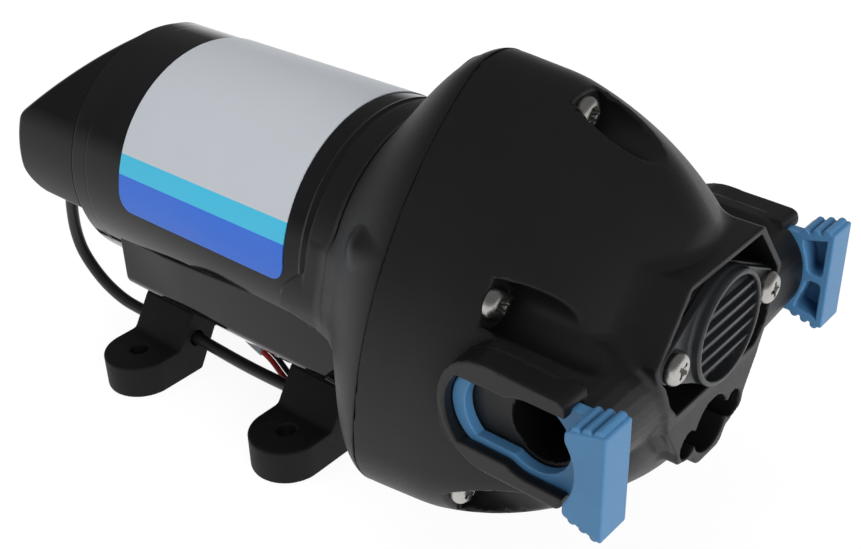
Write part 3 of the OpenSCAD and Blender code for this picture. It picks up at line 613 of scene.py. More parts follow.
class Palette:
    """One material in the making: its tree, its shader and small helpers."""

    def __init__(self, name: str) -> None:
        """Starts an empty material.

        Args:
            name: Name of the material.
        """
        self.material = bpy.data.materials.new(name)
        self.material.use_nodes = True
        self.tree = self.material.node_tree
        self.tree.nodes.clear()
        self.shader = self.tree.nodes.new("ShaderNodeBsdfPrincipled")
        out = self.tree.nodes.new("ShaderNodeOutputMaterial")
        self.tree.links.new(self.shader.outputs[0], out.inputs[0])
        self.place = self.tree.nodes.new("ShaderNodeTexCoord")

    def group(self, group: bpy.types.NodeTree, **values: float) -> bpy.types.Node:
        """Places a shared group on Object coordinates.

        Args:
            group: The group.
            values: Its input values by name.

        Returns:
            The group node.
        """
        node = self.tree.nodes.new("ShaderNodeGroup")
        node.node_tree = group
        self.tree.links.new(self.place.outputs["Object"], node.inputs["Vector"])
        for name, value in values.items():
            node.inputs[name].default_value = value
        return node

    def mix(self, factor: bpy.types.NodeSocket, a: object, b: object) -> bpy.types.NodeSocket:
        """Mixes two colours.

        Args:
            factor: Socket with the share of b.
            a: Socket or colour.
            b: Socket or colour.

        Returns:
            The mixed colour.
        """
        node = self.tree.nodes.new("ShaderNodeMix")
        node.data_type = "RGBA"
        self.tree.links.new(factor, node.inputs[0])
        for value, socket in ((a, node.inputs[6]), (b, node.inputs[7])):
            if isinstance(value, bpy.types.NodeSocket):
                self.tree.links.new(value, socket)
            else:
                socket.default_value = (*value, 1.0)
        return node.outputs[2]

    def ramp(
        self, value: bpy.types.NodeSocket, low: float, high: float, start: float = 0.3, end: float = 0.7
    ) -> bpy.types.NodeSocket:
        """Maps a value from start..end to low..high."""
        node = self.tree.nodes.new("ShaderNodeMapRange")
        self.tree.links.new(value, node.inputs[0])
        for i, number in enumerate((start, end, low, high), 1):
            node.inputs[i].default_value = number
        return node.outputs[0]

    def tint(
        self, tone: bpy.types.NodeSocket, colour: Colour, low: float, high: float
    ) -> bpy.types.NodeSocket:
        """Colour that goes from low to high times itself with a tone."""
        return self.mix(self.ramp(tone, 0.0, 1.0), shade(colour, low), shade(colour, high))

    def roughen(self, value: bpy.types.NodeSocket, low: float, high: float) -> None:
        """Feeds a roughness that goes from low to high with a value."""
        self.feed("Roughness", self.ramp(value, low, high))

    def bump(self, height: bpy.types.NodeSocket, depth: float) -> None:
        """Feeds a height of a depth in millimetres to the normal."""
        node = self.tree.nodes.new("ShaderNodeBump")
        node.inputs["Strength"].default_value = 1.0
        node.inputs["Distance"].default_value = depth * MM
        self.tree.links.new(height, node.inputs["Height"])
        self.tree.links.new(node.outputs[0], self.shader.inputs["Normal"])

    def feed(self, name: str, value: object) -> None:
        """Links or sets one socket of the shader."""
        socket = self.shader.inputs[name]
        if isinstance(value, bpy.types.NodeSocket):
            self.tree.links.new(value, socket)
        elif isinstance(value, tuple):
            socket.default_value = (*value, 1.0)
        else:
            socket.default_value = value


def shade(colour: Colour, by: float) -> Colour:
    """Colour scaled by a factor."""
    return (colour[0] * by, colour[1] * by, colour[2] * by)


@dataclass(frozen=True)
class Moulding:
    """Moulded plastic or rubber with a fine grain."""

    slot: str
    colour: Colour
    roughness: float = 0.5
    grain: float = 0.45
    depth: float = 0.012
    drift: float = 0.14
    drift_size: float = 22.0
    specular: float = 0.4
    specks: float = 0.12
    speck_pitch: float = 3.2
    dust: Colour = (0.22, 0.21, 0.2)

    def material(self, kit: ShaderKit) -> bpy.types.Material:
        """Builds the material.

        Args:
            kit: Shared shader groups.

        Returns:
            The material.
        """
        palette = Palette(self.slot + "_finish")
        grain = palette.group(kit.grain, Size=self.grain, Drift=self.drift_size)
        specks = palette.group(kit.specks, Spacing=self.speck_pitch, Share=self.specks)
        base = palette.tint(grain.outputs["Tone"], self.colour, 1.0 - self.drift, 1.0 + self.drift)
        palette.feed("Base Color", palette.mix(specks.outputs["Mask"], base, self.dust))
        palette.roughen(grain.outputs["Height"], self.roughness * 0.88, self.roughness * 1.12)
        palette.feed("Specular IOR Level", self.specular)
        palette.bump(grain.outputs["Height"], self.depth)
        return palette.material


@dataclass(frozen=True)
class Paint:
    """Gloss paint on drawn steel, with a trace of orange peel and dust."""

    slot: str
    colour: Colour
    roughness: float = 0.09
    peel: float = 1.6
    depth: float = 0.004
    drift_size: float = 30.0
    specular: float = 0.16
    specks: float = 0.1
    speck_pitch: float = 5.0
    dust: Colour = (0.2, 0.2, 0.2)

    def material(self, kit: ShaderKit) -> bpy.types.Material:
        """Builds the material.

        Args:
            kit: Shared shader groups.

        Returns:
            The material.
        """
        palette = Palette(self.slot + "_finish")
        peel = palette.group(kit.grain, Size=self.peel, Drift=self.drift_size)
        specks = palette.group(kit.specks, Spacing=self.speck_pitch, Share=self.specks)
        base = palette.tint(peel.outputs["Tone"], self.colour, 0.85, 1.15)
        palette.feed("Base Color", palette.mix(specks.outputs["Mask"], base, self.dust))
        palette.roughen(peel.outputs["Tone"], self.roughness * 0.8, self.roughness * 1.3)
        palette.feed("Specular IOR Level", self.specular)
        palette.bump(peel.outputs["Height"], self.depth)
        return palette.material


@dataclass(frozen=True)
class Film:
    """Printed label film: a pale field over two straight bands, by the label's own map."""

    slot: str
    field_colour: Colour = (0.56, 0.59, 0.635)
    upper_band: Colour = (0.06, 0.53, 0.78)
    lower_band: Colour = (0.03, 0.155, 0.70)
    stain: Colour = (0.3, 0.3, 0.31)
    stain_share: float = 0.06
    lower_edge: float = 0.092
    upper_edge: float = 0.142
    edge_half: float = 0.0006
    roughness: float = 0.36
    specular: float = 0.3
    depth: float = 0.002

    def material(self, kit: ShaderKit) -> bpy.types.Material:
        """Builds the material.

        Args:
            kit: Shared shader groups.

        Returns:
            The material.
        """
        palette = Palette(self.slot + "_finish")
        tree = palette.tree
        grain = palette.group(kit.grain, Size=0.7, Drift=25.0)
        split = tree.nodes.new("ShaderNodeSeparateXYZ")
        tree.links.new(palette.place.outputs["UV"], split.inputs[0])
        across = split.outputs[1]

        def past(edge: float) -> bpy.types.NodeSocket:
            """One above an edge across the label, nought below it, with a printed edge's softness."""
            return palette.ramp(across, 0.0, 1.0, edge - self.edge_half, edge + self.edge_half)

        bands = palette.mix(past(self.lower_edge), self.lower_band, self.upper_band)
        print_colour = palette.mix(past(self.upper_edge), bands, self.field_colour)
        tone = palette.ramp(grain.outputs["Tone"], 0.0, self.stain_share)
        palette.feed("Base Color", palette.mix(tone, print_colour, self.stain))
        palette.roughen(grain.outputs["Height"], self.roughness - 0.04, self.roughness + 0.04)
        palette.feed("Specular IOR Level", self.specular)
        palette.bump(grain.outputs["Height"], self.depth)
        return palette.material


@dataclass(frozen=True)
class Metal:
    """Bare metal with drawn or turned lines and a stained tone."""

    slot: str
    colour: Colour
    roughness: float = 0.25
    across: float = 0.2
    along: float = 3.0
    depth: float = 0.003
    metallic: float = 1.0

    def material(self, kit: ShaderKit) -> bpy.types.Material:
        """Builds the material.

        Args:
            kit: Shared shader groups.

        Returns:
            The material.
        """
        palette = Palette(self.slot + "_finish")
        lines = palette.group(kit.streaks, Across=self.across, Along=self.along)
        stain = palette.group(kit.grain, Size=1.2, Drift=6.0)
        palette.feed("Base Color", palette.tint(stain.outputs["Tone"], self.colour, 0.88, 1.08))
        palette.feed("Metallic", self.metallic)
        palette.roughen(lines.outputs["Height"], self.roughness * 0.8, self.roughness * 1.25)
        palette.bump(lines.outputs["Height"], self.depth)
        return palette.material


@dataclass(frozen=True)
class Sheath:
    """Extruded sheath of a cable or lead."""

    slot: str
    colour: Colour
    roughness: float = 0.38
    specular: float = 0.45
    depth: float = 0.006

    def material(self, kit: ShaderKit) -> bpy.types.Material:
        """Builds the material.

        Args:
            kit: Shared shader groups.

        Returns:
            The material.
        """
        palette = Palette(self.slot + "_finish")
        lines = palette.group(kit.streaks, Across=0.35, Along=5.0)
        grain = palette.group(kit.grain, Size=0.4, Drift=9.0)
        palette.feed("Base Color", palette.tint(grain.outputs["Tone"], self.colour, 0.8, 1.2))
        palette.roughen(lines.outputs["Height"], self.roughness - 0.06, self.roughness + 0.08)
        palette.feed("Specular IOR Level", self.specular)
        palette.bump(lines.outputs["Height"], self.depth)
        return palette.material


Finish = Moulding | Paint | Film | Metal | Sheath

FINISHES: tuple[Finish, ...] = (
    Paint("can_paint", (0.010, 0.010, 0.011)),
    Film("label_film"),
    Moulding(
        "black_gloss", (0.008, 0.008, 0.0085), roughness=0.06, grain=3.0, depth=0.0004, specular=0.15,
        specks=0.06,
    ),
    Moulding("black_plastic", (0.0062, 0.0062, 0.0065), roughness=0.46, specular=0.38, specks=0.0),
    Moulding("cap_plastic", (0.020, 0.021, 0.023), roughness=0.36, depth=0.008, specular=0.45, specks=0.06),
    Moulding(
        "blue_plastic", (0.068, 0.196, 0.372), roughness=0.42, depth=0.008, drift=0.06, specular=0.3,
        specks=0.0,
    ),
    Moulding("pale_plastic", (0.70, 0.67, 0.58), roughness=0.45, drift=0.05, specks=0.05),
    Moulding("holder_board", (0.30, 0.19, 0.10), roughness=0.6, grain=0.8, drift=0.2),
    Moulding("switch_plastic", (0.02, 0.03, 0.07), roughness=0.4),
    Moulding(
        "foot_rubber", (0.0075, 0.0075, 0.0079), roughness=0.6, grain=0.6, depth=0.02, specular=0.16,
        specks=0.2,
    ),
    Moulding("seal_rubber", (0.035, 0.05, 0.045), roughness=0.6, depth=0.02),
    Moulding("valve_rubber", (0.28, 0.085, 0.05), roughness=0.55, depth=0.015),
    Sheath("cable_sheath", (0.010, 0.010, 0.011)),
    Sheath("red_sheath", (0.38, 0.018, 0.02)),
    Sheath("sleeve", (0.28, 0.29, 0.31), roughness=0.45),
    Metal("screw_steel", (0.50, 0.49, 0.47), roughness=0.32, across=0.5, along=0.5, depth=0.003),
    Metal("shaft_steel", (0.55, 0.56, 0.58), roughness=0.22),
    Metal("bell_metal", (0.09, 0.09, 0.095), roughness=0.5, across=0.9, along=0.9, depth=0.02),
    Metal("core_steel", (0.22, 0.22, 0.23), roughness=0.4, across=4.0, along=0.5, depth=0.02),
    Metal("magnet", (0.05, 0.045, 0.04), roughness=0.7, across=0.7, along=0.7, depth=0.02, metallic=0.2),
    Metal("copper", (0.48, 0.17, 0.06), roughness=0.32, across=0.5, along=4.0, depth=0.05),
    Metal("bronze", (0.45, 0.3, 0.12), roughness=0.42, across=0.4, along=0.4, depth=0.01),
    Metal("carbon", (0.03, 0.03, 0.03), roughness=0.6, across=0.3, along=0.3, depth=0.01, metallic=0.1),
)

INNER_NODES: dict[str, tuple[str, ...]] = {
    "bell_metal": ("rear_end_bell", "front_end_plate"),
    "bronze": ("rear_bush",),
    "shaft_steel": (
        "front_bearing", "motor_shaft", "cam_bearing", "drive_cam", "brush_springs", "switch_spring",
    ),
    "magnet": ("field_magnets",),
    "holder_board": ("brush_holder",),
    "carbon": ("brushes",),
    "core_steel": ("armature_core",),
    "copper": ("armature_windings", "commutator"),
    "pale_plastic": ("wobble_plate", "piston_discs", "valve_plate", "switch_plunger"),
    "screw_steel": ("piston_screws",),
    "seal_rubber": ("diaphragm", "valve_seal", "switch_diaphragm"),
    "valve_rubber": ("inlet_valves", "outlet_valve"),
    "switch_plastic": ("micro_switch",),
}


class Bench:
    """Where finished pieces get their material, their body and the nodes they stand for."""

    def __init__(self, nodes: dict[str, bpy.types.Object]) -> None:
        """Builds the finishes.

        Args:
            nodes: CAD nodes of the frame by name.
        """
        kit = ShaderKit()
        self.nodes = nodes
        self.materials = {finish.slot: finish.material(kit) for finish in FINISHES}

    def fit(self, piece: bpy.types.Object, slot: str, body: Body, *stands_for: str) -> bpy.types.Object:
        """Dresses a piece and puts it on its body.

        Args:
            piece: The finished piece.
            slot: Material slot, which names its finish.
            body: Body that it rides on.
            stands_for: CAD nodes that it replaces.

        Returns:
            The piece.
        """
        piece.data.materials.clear()
        piece.data.materials.append(self.materials[slot])
        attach(piece, body.value)
        if stands_for:
            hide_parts(*stands_for)
        size = len(piece.data.polygons) if piece.type == "MESH" else len(piece.data.splines)
        LOG.info("%s: %d faces or splines, %s, on %s", piece.name, size, slot, body.value)
        return piece

    def dress_nodes(self) -> None:
        """Gives the inner CAD nodes their finishes."""
        for slot, names in INNER_NODES.items():
            for name in names:
                materials = self.nodes[name].data.materials
                materials.clear()
                materials.append(self.materials[slot])
                LOG.info("%s: CAD node in %s", name, slot)


@dataclass(frozen=True)
class Lamp:
    """Soft square lamp, with its place and side in metres and its power in watts."""

    name: str
    place: Point
    side: float
    watts: float


@dataclass
class Studio:
    """Camera, floor and soft light. The floor, the lamps and their aim are in metres."""

    eye: Point = (214.7, -194.0, 201.3)
    right: Point = (0.7651, 0.6435, -0.0244)
    back: Point = (0.5588, -0.6445, 0.5219)
    lens: float = 53.88
    sensor: float = 36.0
    floor_half: float = 12.0
    floor_tone: float = 0.88
    white_share: float = 0.86
    white_level: float = 1.08
    aim: Point = (0.04, 0.0, 0.05)
    lamps: tuple[Lamp, ...] = (
        Lamp("front_lamp", (0.87, -0.36, 0.34), 0.6, 7.0),
        Lamp("side_lamp", (-0.1, -0.95, 0.4), 0.7, 0.9),
        Lamp("top_lamp", (-0.2, -0.1, 1.0), 0.8, 4.2),
        Lamp("back_lamp", (-0.6, 0.7, 0.5), 0.7, 2.0),
    )
    horizon: tuple[float, float] = (0.02, 0.2)
    surround: tuple[float, float] = (1.0, 0.22)

    def set_camera(self) -> None:
        """Makes the camera at the photograph's viewing angle."""
        camera = bpy.data.cameras.new("photo_camera")
        camera.sensor_fit = "HORIZONTAL"
        camera.sensor_width = self.sensor
        camera.lens = self.lens
        camera.clip_start = 0.01
        obj = bpy.data.objects.new("photo_camera", camera)
        bpy.context.scene.collection.objects.link(obj)
        back = np.array(self.back) / np.linalg.norm(self.back)
        up = np.cross(back, self.right)
        up /= np.linalg.norm(up)
        right = np.cross(up, back)
        turn = Matrix(np.stack([right, up, back], 1).tolist()).to_4x4()
        turn.translation = [v * MM for v in self.eye]
        obj.matrix_world = turn
        bpy.context.scene.camera = obj
        bpy.context.scene.view_settings.view_transform = "Standard"

    @staticmethod
    def _seen(tree: bpy.types.NodeTree) -> bpy.types.NodeSocket:
        """One for rays that show a surface to the eye: camera, glossy and transmission rays."""
        path = tree.nodes.new("ShaderNodeLightPath")
        total = path.outputs["Is Camera Ray"]
        for name in ("Is Glossy Ray", "Is Transmission Ray"):
            most = tree.nodes.new("ShaderNodeMath")
            most.operation = "MAXIMUM"
            tree.links.new(total, most.inputs[0])
            tree.links.new(path.outputs[name], most.inputs[1])
            total = most.outputs[0]
        return total

    def set_floor(self) -> None:
        """Lays the pale floor, white to the camera and still taking the shadow."""
        h = self.floor_half / MM
        corners = np.array([(-h, -h, 0.0), (h, -h, 0.0), (h, h, 0.0), (-h, h, 0.0)])
        floor = mesh_object("studio_floor", Skin(corners, [(0, 1, 2, 3)]))
        material = bpy.data.materials.new("studio_floor_paint")
        material.use_nodes = True
        tree = material.node_tree
        tree.nodes.clear()
        matt = tree.nodes.new("ShaderNodeBsdfDiffuse")
        matt.inputs["Color"].default_value = (self.floor_tone, self.floor_tone, self.floor_tone, 1.0)
        glow = tree.nodes.new("ShaderNodeEmission")
        glow.inputs["Strength"].default_value = self.white_level
        seen = self._seen(tree)
        share = tree.nodes.new("ShaderNodeMath")
        share.operation = "MULTIPLY"
        share.inputs[1].default_value = self.white_share
        blend = tree.nodes.new("ShaderNodeMixShader")
        out = tree.nodes.new("ShaderNodeOutputMaterial")
        tree.links.new(seen, share.inputs[0])
        tree.links.new(share.outputs[0], blend.inputs[0])
        tree.links.new(matt.outputs[0], blend.inputs[1])
        tree.links.new(glow.outputs[0], blend.inputs[2])
        tree.links.new(blend.outputs[0], out.inputs[0])
        floor.data.materials.append(material)

    def _hang(self, lamp: Lamp) -> None:
        """Hangs a lamp that looks at the middle of the pump and isn't mirrored in glossy pieces.

        Args:
            lamp: The lamp.
        """
        data = bpy.data.lights.new(lamp.name, "AREA")
        data.size = lamp.side
        data.energy = lamp.watts
        obj = bpy.data.objects.new(lamp.name, data)
        bpy.context.scene.collection.objects.link(obj)
        back = np.array(lamp.place) - np.array(self.aim)
        back /= np.linalg.norm(back)
        right = np.cross((0.0, 0.0, 1.0), back)
        right /= np.linalg.norm(right)
        turn = Matrix(np.stack([right, np.cross(back, right), back], 1).tolist()).to_4x4()
        turn.translation = lamp.place
        obj.matrix_world = turn
        obj.visible_glossy = False

    def set_light(self) -> None:
        """Sets the lamps and a surround that is white at the horizon and dim overhead."""
        for lamp in self.lamps:
            self._hang(lamp)
        world = bpy.data.worlds.new("studio_surround")
        bpy.context.scene.world = world
        world.use_nodes = True
        tree = world.node_tree
        tree.nodes.clear()
        place = tree.nodes.new("ShaderNodeTexCoord")
        split = tree.nodes.new("ShaderNodeSeparateXYZ")
        tree.links.new(place.outputs["Generated"], split.inputs[0])
        fade = tree.nodes.new("ShaderNodeMapRange")
        for i, number in enumerate((*self.horizon, *self.surround), 1):
            fade.inputs[i].default_value = number
        tree.links.new(split.outputs[2], fade.inputs[0])
        back = tree.nodes.new("ShaderNodeBackground")
        out = tree.nodes.new("ShaderNodeOutputWorld")
        tree.links.new(fade.outputs[0], back.inputs["Strength"])
        tree.links.new(back.outputs[0], out.inputs[0])


@dataclass
class Wiring:
    """Sheathed motor cable, its sleeve and the two leads under the base."""

    cable_d: float = 3.2
    lead_d: float = 1.5
    lead_pitch: float = 1.9
    sleeve_d: float = 3.8
    cable: tuple[Point, ...] = (
        (-45.1, -21.5, 50.0), (-49.0, -21.7, 50.0), (-53.0, -23.4, 49.1), (-56.3, -24.7, 46.5),
        (-58.0, -25.0, 42.0), (-59.0, -25.0, 36.0), (-59.0, -25.0, 30.5), (-57.5, -25.0, 25.5),
        (-54.5, -24.7, 21.0), (-50.0, -24.2, 16.8), (-45.0, -23.0, 13.2), (-41.0, -21.6, 11.2),
        (-36.0, -20.6, 10.3), (-30.0, -20.4, 10.1), (-24.0, -20.4, 10.1), (-18.0, -20.4, 10.1),
        (-10.0, -20.4, 9.7), (-2.0, -20.4, 9.4), (6.0, -20.4, 9.4), (14.0, -20.4, 9.7),
        (20.0, -20.4, 10.1), (26.0, -20.4, 10.1), (32.0, -20.4, 10.1), (38.0, -20.4, 10.3),
        (43.0, -19.9, 10.9), (47.5, -19.0, 12.2), (51.5, -18.3, 13.4), (55.6, -18.0, 13.9),
        (60.4, -18.0, 13.9),
    )
    lead: tuple[Point, ...] = (
        (1.35, -14.9, 10.87), (4.2, -14.9, 9.5), (8.0, -15.0, 6.6), (11.5, -15.0, 4.4),
        (16.0, -14.8, 2.8), (22.0, -14.4, 2.0), (30.0, -13.8, 2.0), (38.0, -13.0, 3.0),
        (44.0, -12.4, 5.6), (49.0, -12.0, 8.6), (52.5, -12.0, 11.4), (55.6, -12.0, 12.9),
        (59.6, -12.0, 12.9),
    )
    sleeve: tuple[Point, ...] = (
        (-8.0, -14.6, 17.7), (-7.9, -14.6, 16.5), (-6.4, -14.6, 14.4), (-3.6, -14.8, 12.6),
        (1.0, -14.9, 11.0),
    )

    @staticmethod
    def _cord(name: str, points: Array, diameter: float) -> bpy.types.Object:
        """Curve of one spline along a route.

        Args:
            name: Name of the piece.
            points: Points of the route in metres, one row each.
            diameter: Diameter of the cord in millimetres.

        Returns:
            The curve object.
        """
        curve = bpy.data.curves.new(name, "CURVE")
        curve.dimensions = "3D"
        curve.bevel_depth = 0.5 * diameter * MM
        curve.bevel_resolution = 5
        curve.use_fill_caps = True
        spline = curve.splines.new("POLY")
        spline.points.add(len(points) - 1)
        for knot, p in zip(spline.points, points):
            knot.co = (*p, 1.0)
        spline.use_smooth = True
        obj = bpy.data.objects.new(name, curve)
        bpy.context.scene.collection.objects.link(obj)
        return obj

    def _lay(
        self, bench: Bench, name: str, route: Sequence[Point], d: float, slot: str
    ) -> None:
        """Makes and dresses one cord that is held at both ends.

        Args:
            bench: Bench that fits the piece.
            name: CAD node that the cord stands for.
            route: Points of the route.
            d: Diameter.
            slot: Material slot.
        """
        points = smooth_route(route) * MM
        cord = bench.fit(self._cord(name + "_cord", points, d), slot, Body.PUMP, name)

    def build(self, bench: Bench) -> None:
        """Lays the cable, both leads and the sleeve."""
        self._lay(bench, "motor_cable", self.cable, self.cable_d, "cable_sheath")
        self._lay(bench, "red_lead", self.lead, self.lead_d, "red_sheath")
        beside = [(x, y + self.lead_pitch, z) for x, y, z in self.lead]
        self._lay(bench, "black_lead", beside, self.lead_d, "cable_sheath")
        path = smooth_route([(x, y + 0.5 * self.lead_pitch, z) for x, y, z in self.sleeve], 6)
        sleeve = mesh_object("lead_sleeve_tube", tube(path, 0.5 * self.sleeve_d), 40.0)
        bench.fit(sleeve, "sleeve", Body.PUMP, "lead_sleeve")


@dataclass
class Motor:
    """Drawn can with its bead and label, the rear cover and the saddle base."""

    can_r: float = 31.75
    can_sides: int = 192
    wall: float = 1.5
    half_len: float = 45.0
    bead_x: float = 36.6
    bead_rise: float = 0.42
    bead_steps: int = 16
    band_x: float = 38.2
    band_r: float = 32.0
    rear_line_x: float = -39.6
    rear_line_dip: float = 0.03
    label_x: tuple[float, float] = (-25.8, 30.9)
    label_r: float = 32.0
    label_drop: float = 1.0
    label_corner: float = 4.0
    hood_x: float = -69.1
    hood_rise: float = 11.6
    hood_drop: float = 8.0
    hood_wall: float = 2.0
    hood_corner: float = 10.0
    base_x: tuple[float, float] = (-33.0, 45.0)
    base_half: float = 29.0
    base_floor_half: float = 21.0
    base_drop: float = 34.5
    base_side_drop: float = 25.5
    base_lean: float = 1.3
    base_lean_run: float = 25.0
    base_ledge_drop: float = 12.4
    base_climb: float = 0.062
    base_in_can: float = 0.7
    base_nose: tuple[float, float] = (37.4, 26.5)

    def _can_profile(self) -> list[tuple[float, float]]:
        """Outline of the can's wall with its rolled bead, as (x, radius)."""
        r, end, dip = self.can_r, self.half_len, self.rear_line_dip
        band, wide = self.band_x, self.band_r
        profile = [(-end, r - 0.3), (-end + 0.08, r - 0.1), (-end + 0.25, r), (-end + 0.5, r)]
        for dx, depth in ((-0.6, 0.0), (-0.3, 0.0), (-0.1, dip), (0.1, dip), (0.3, 0.0), (0.6, 0.0)):
            profile.append((self.rear_line_x + dx, r - depth))
        profile.append((self.bead_x - 1.4, r))
        for k in range(self.bead_steps + 1):
            t = k / self.bead_steps
            profile.append((self.bead_x - 1.0 + 2.0 * t, r + self.bead_rise * math.sin(math.pi * t) ** 2))
        profile += [(band - 0.5, r), (band - 0.25, r + 0.03), (band, 0.5 * (r + wide))]
        profile += [(band + 0.25, wide - 0.03), (band + 0.5, wide), (band + 0.8, wide)]
        profile += [(end - 0.6, wide), (end - 0.3, wide), (end - 0.1, wide - 0.08)]
        profile += [(end, wide - 0.3), (end, r - self.wall), (-end, r - self.wall)]
        return profile

    def _label_skin(self) -> tuple[Skin, Array]:
        """Label film wrapped over the can, and its map.

        Returns:
            The skin and the map of each point, across the label from its near lower edge.
        """
        x0, x1 = self.label_x
        half = self.label_r * (0.5 * math.pi + math.asin(self.label_drop / self.label_r))
        c = self.label_corner
        steps, inner_rows, columns = 10, 90, 24
        ends = [c * (1.0 - math.cos(0.5 * math.pi * k / steps)) for k in range(steps + 1)]
        inner = np.linspace(c, 2.0 * half - c, inner_rows)[1:-1].tolist()
        rows = ends + inner + [2.0 * half - e for e in reversed(ends)]
        points, uv = [], []
        for r in (self.label_r, self.can_r):
            for s in rows:
                d = min(s, 2.0 * half - s)
                inset = c - math.sqrt(max(c * c - (c - d) ** 2, 0.0)) if d < c else 0.0
                turn = (half - s) / self.label_r
                for k in range(columns + 1):
                    x = x0 + inset + (x1 - x0 - 2.0 * inset) * k / columns
                    points.append((x, -r * math.sin(turn), AXIS_H + r * math.cos(turn)))
                    uv.append(((x - x0) / (x1 - x0), s / (2.0 * half)))
        wide, tall = columns + 1, len(rows)
        under = wide * tall
        faces = []
        for j in range(tall - 1):
            for k in range(columns):
                a, b = j * wide + k, (j + 1) * wide + k
                faces.append((a, a + 1, b + 1, b))
                faces.append((under + a, under + b, under + b + 1, under + a + 1))
            for k, flip in ((0, False), (columns, True)):
                a, b = j * wide + k, (j + 1) * wide + k
                side = (a, b, under + b, under + a)
                faces.append(tuple(reversed(side)) if flip else side)
        for k in range(columns):
            last = (tall - 1) * wide + k
            faces.append((k + 1, k, under + k, under + k + 1))
            faces.append((last, last + 1, under + last + 1, under + last))
        return Skin(np.array(points), faces), np.array(uv)

    def _hood(self, x: Array, y: Array, z: Array) -> Array:
        """Field of the rear cover, a slanted shell that is open underneath."""
        w = z - AXIS_H
        r = np.hypot(y, w)
        run, rise = -self.half_len - self.hood_x, self.can_r - self.hood_rise
        slant = math.hypot(run, rise)

        def shell(inset: float) -> Array:
            """Round side and slanted top, drawn in by an inset."""
            top = (-(x + self.half_len) * rise + (w - self.can_r) * run) / slant
            return meet_round(r - self.can_r + inset, top + inset, 1.2)

        back = meet_round(self.hood_x - x, -self.hood_drop - w, self.hood_corner)
        outer = meet_round(shell(0.0), self.hood_x - x, 2.2)
        outer = meet_round(outer, back, 0.8)
        outer = meet_round(outer, x + self.half_len, 0.2)
        t = self.hood_wall
        inner = meet_round(self.hood_x + t - x, t - self.hood_drop - w, self.hood_corner - t)
        below = np.maximum(self.hood_x + self.hood_corner - t - x, w)
        hollow = meet_round(shell(t), np.minimum(inner, below), 1.0)
        return cut_round(outer, hollow, 0.5)

    def _base(self, x: Array, y: Array, z: Array) -> Array:
        """Field of the saddle base, whose sides lean out to a ledge along the can."""
        w = z - AXIS_H
        a = np.abs(y)
        x0, x1 = self.base_x
        out = self.base_lean * ease((x - x0) / self.base_lean_run)
        top = self.base_climb * (x - x0) - self.base_ledge_drop
        rise = top + self.base_side_drop
        side = ((a - self.base_half) * rise - (w + self.base_side_drop) * out) / np.hypot(rise, out)
        run, fall = self.base_half - self.base_floor_half, self.base_drop - self.base_side_drop
        flank = ((a - self.base_floor_half) * fall - (w + self.base_drop) * run) / math.hypot(run, fall)
        block = meet_round(meet_round(side, flank, 0.8), -self.base_drop - w, 1.0)
        block = meet_round(block, w - top, 0.5)
        block = meet_round(block, slab(x, x0, x1), 0.4)
        block = np.maximum(block, self.can_r - self.base_in_can - np.hypot(y, w))
        nose_x, nose_drop = self.base_nose
        ramp = ((w + nose_drop) - (x - nose_x)) / math.sqrt(2.0)
        return cut_round(block, np.maximum(ramp, nose_x - x), 0.6)

    def build(self, bench: Bench) -> None:
        """Builds the can, label, rear cover and base."""
        can = mesh_object("motor_can_shell", lathe(self._can_profile(), self.can_sides), 50.0)
        bench.fit(can, "can_paint", Body.PUMP, "motor_can")
        skin, uv = self._label_skin()
        label = mesh_object("motor_label_film", skin, 40.0)
        layer = label.data.uv_layers.new(name="label_map")
        for loop in label.data.loops:
            layer.data[loop.index].uv = uv[loop.vertex_index]
        bench.fit(label, "label_film", Body.PUMP, "motor_label")
        reach, end = self.can_r + 1.0, -self.half_len
        low = (self.hood_x - 1.0, -reach, AXIS_H - self.hood_drop - 1.5)
        box = even_axes(low, (end + 1.0, reach, AXIS_H + reach), 0.5)
        box[0] = graded_axis(low[0], (end - 1.2, 0.5), (end + 0.6, 0.14))
        hood = skin_field(self._hood, box)
        bench.fit(mesh_object("rear_cover_shell", hood), "black_gloss", Body.PUMP, "rear_cover")
        (x0, x1), half = self.base_x, self.base_half + 3.4
        low = (x0 - 1.0, -half, AXIS_H - self.base_drop - 1.5)
        base = skin_field(self._base, even_axes(low, (x1 + 1.0, half, AXIS_H - 5.0), 0.55))
        bench.fit(mesh_object("motor_base_saddle", base), "black_gloss", Body.PUMP, "motor_base")


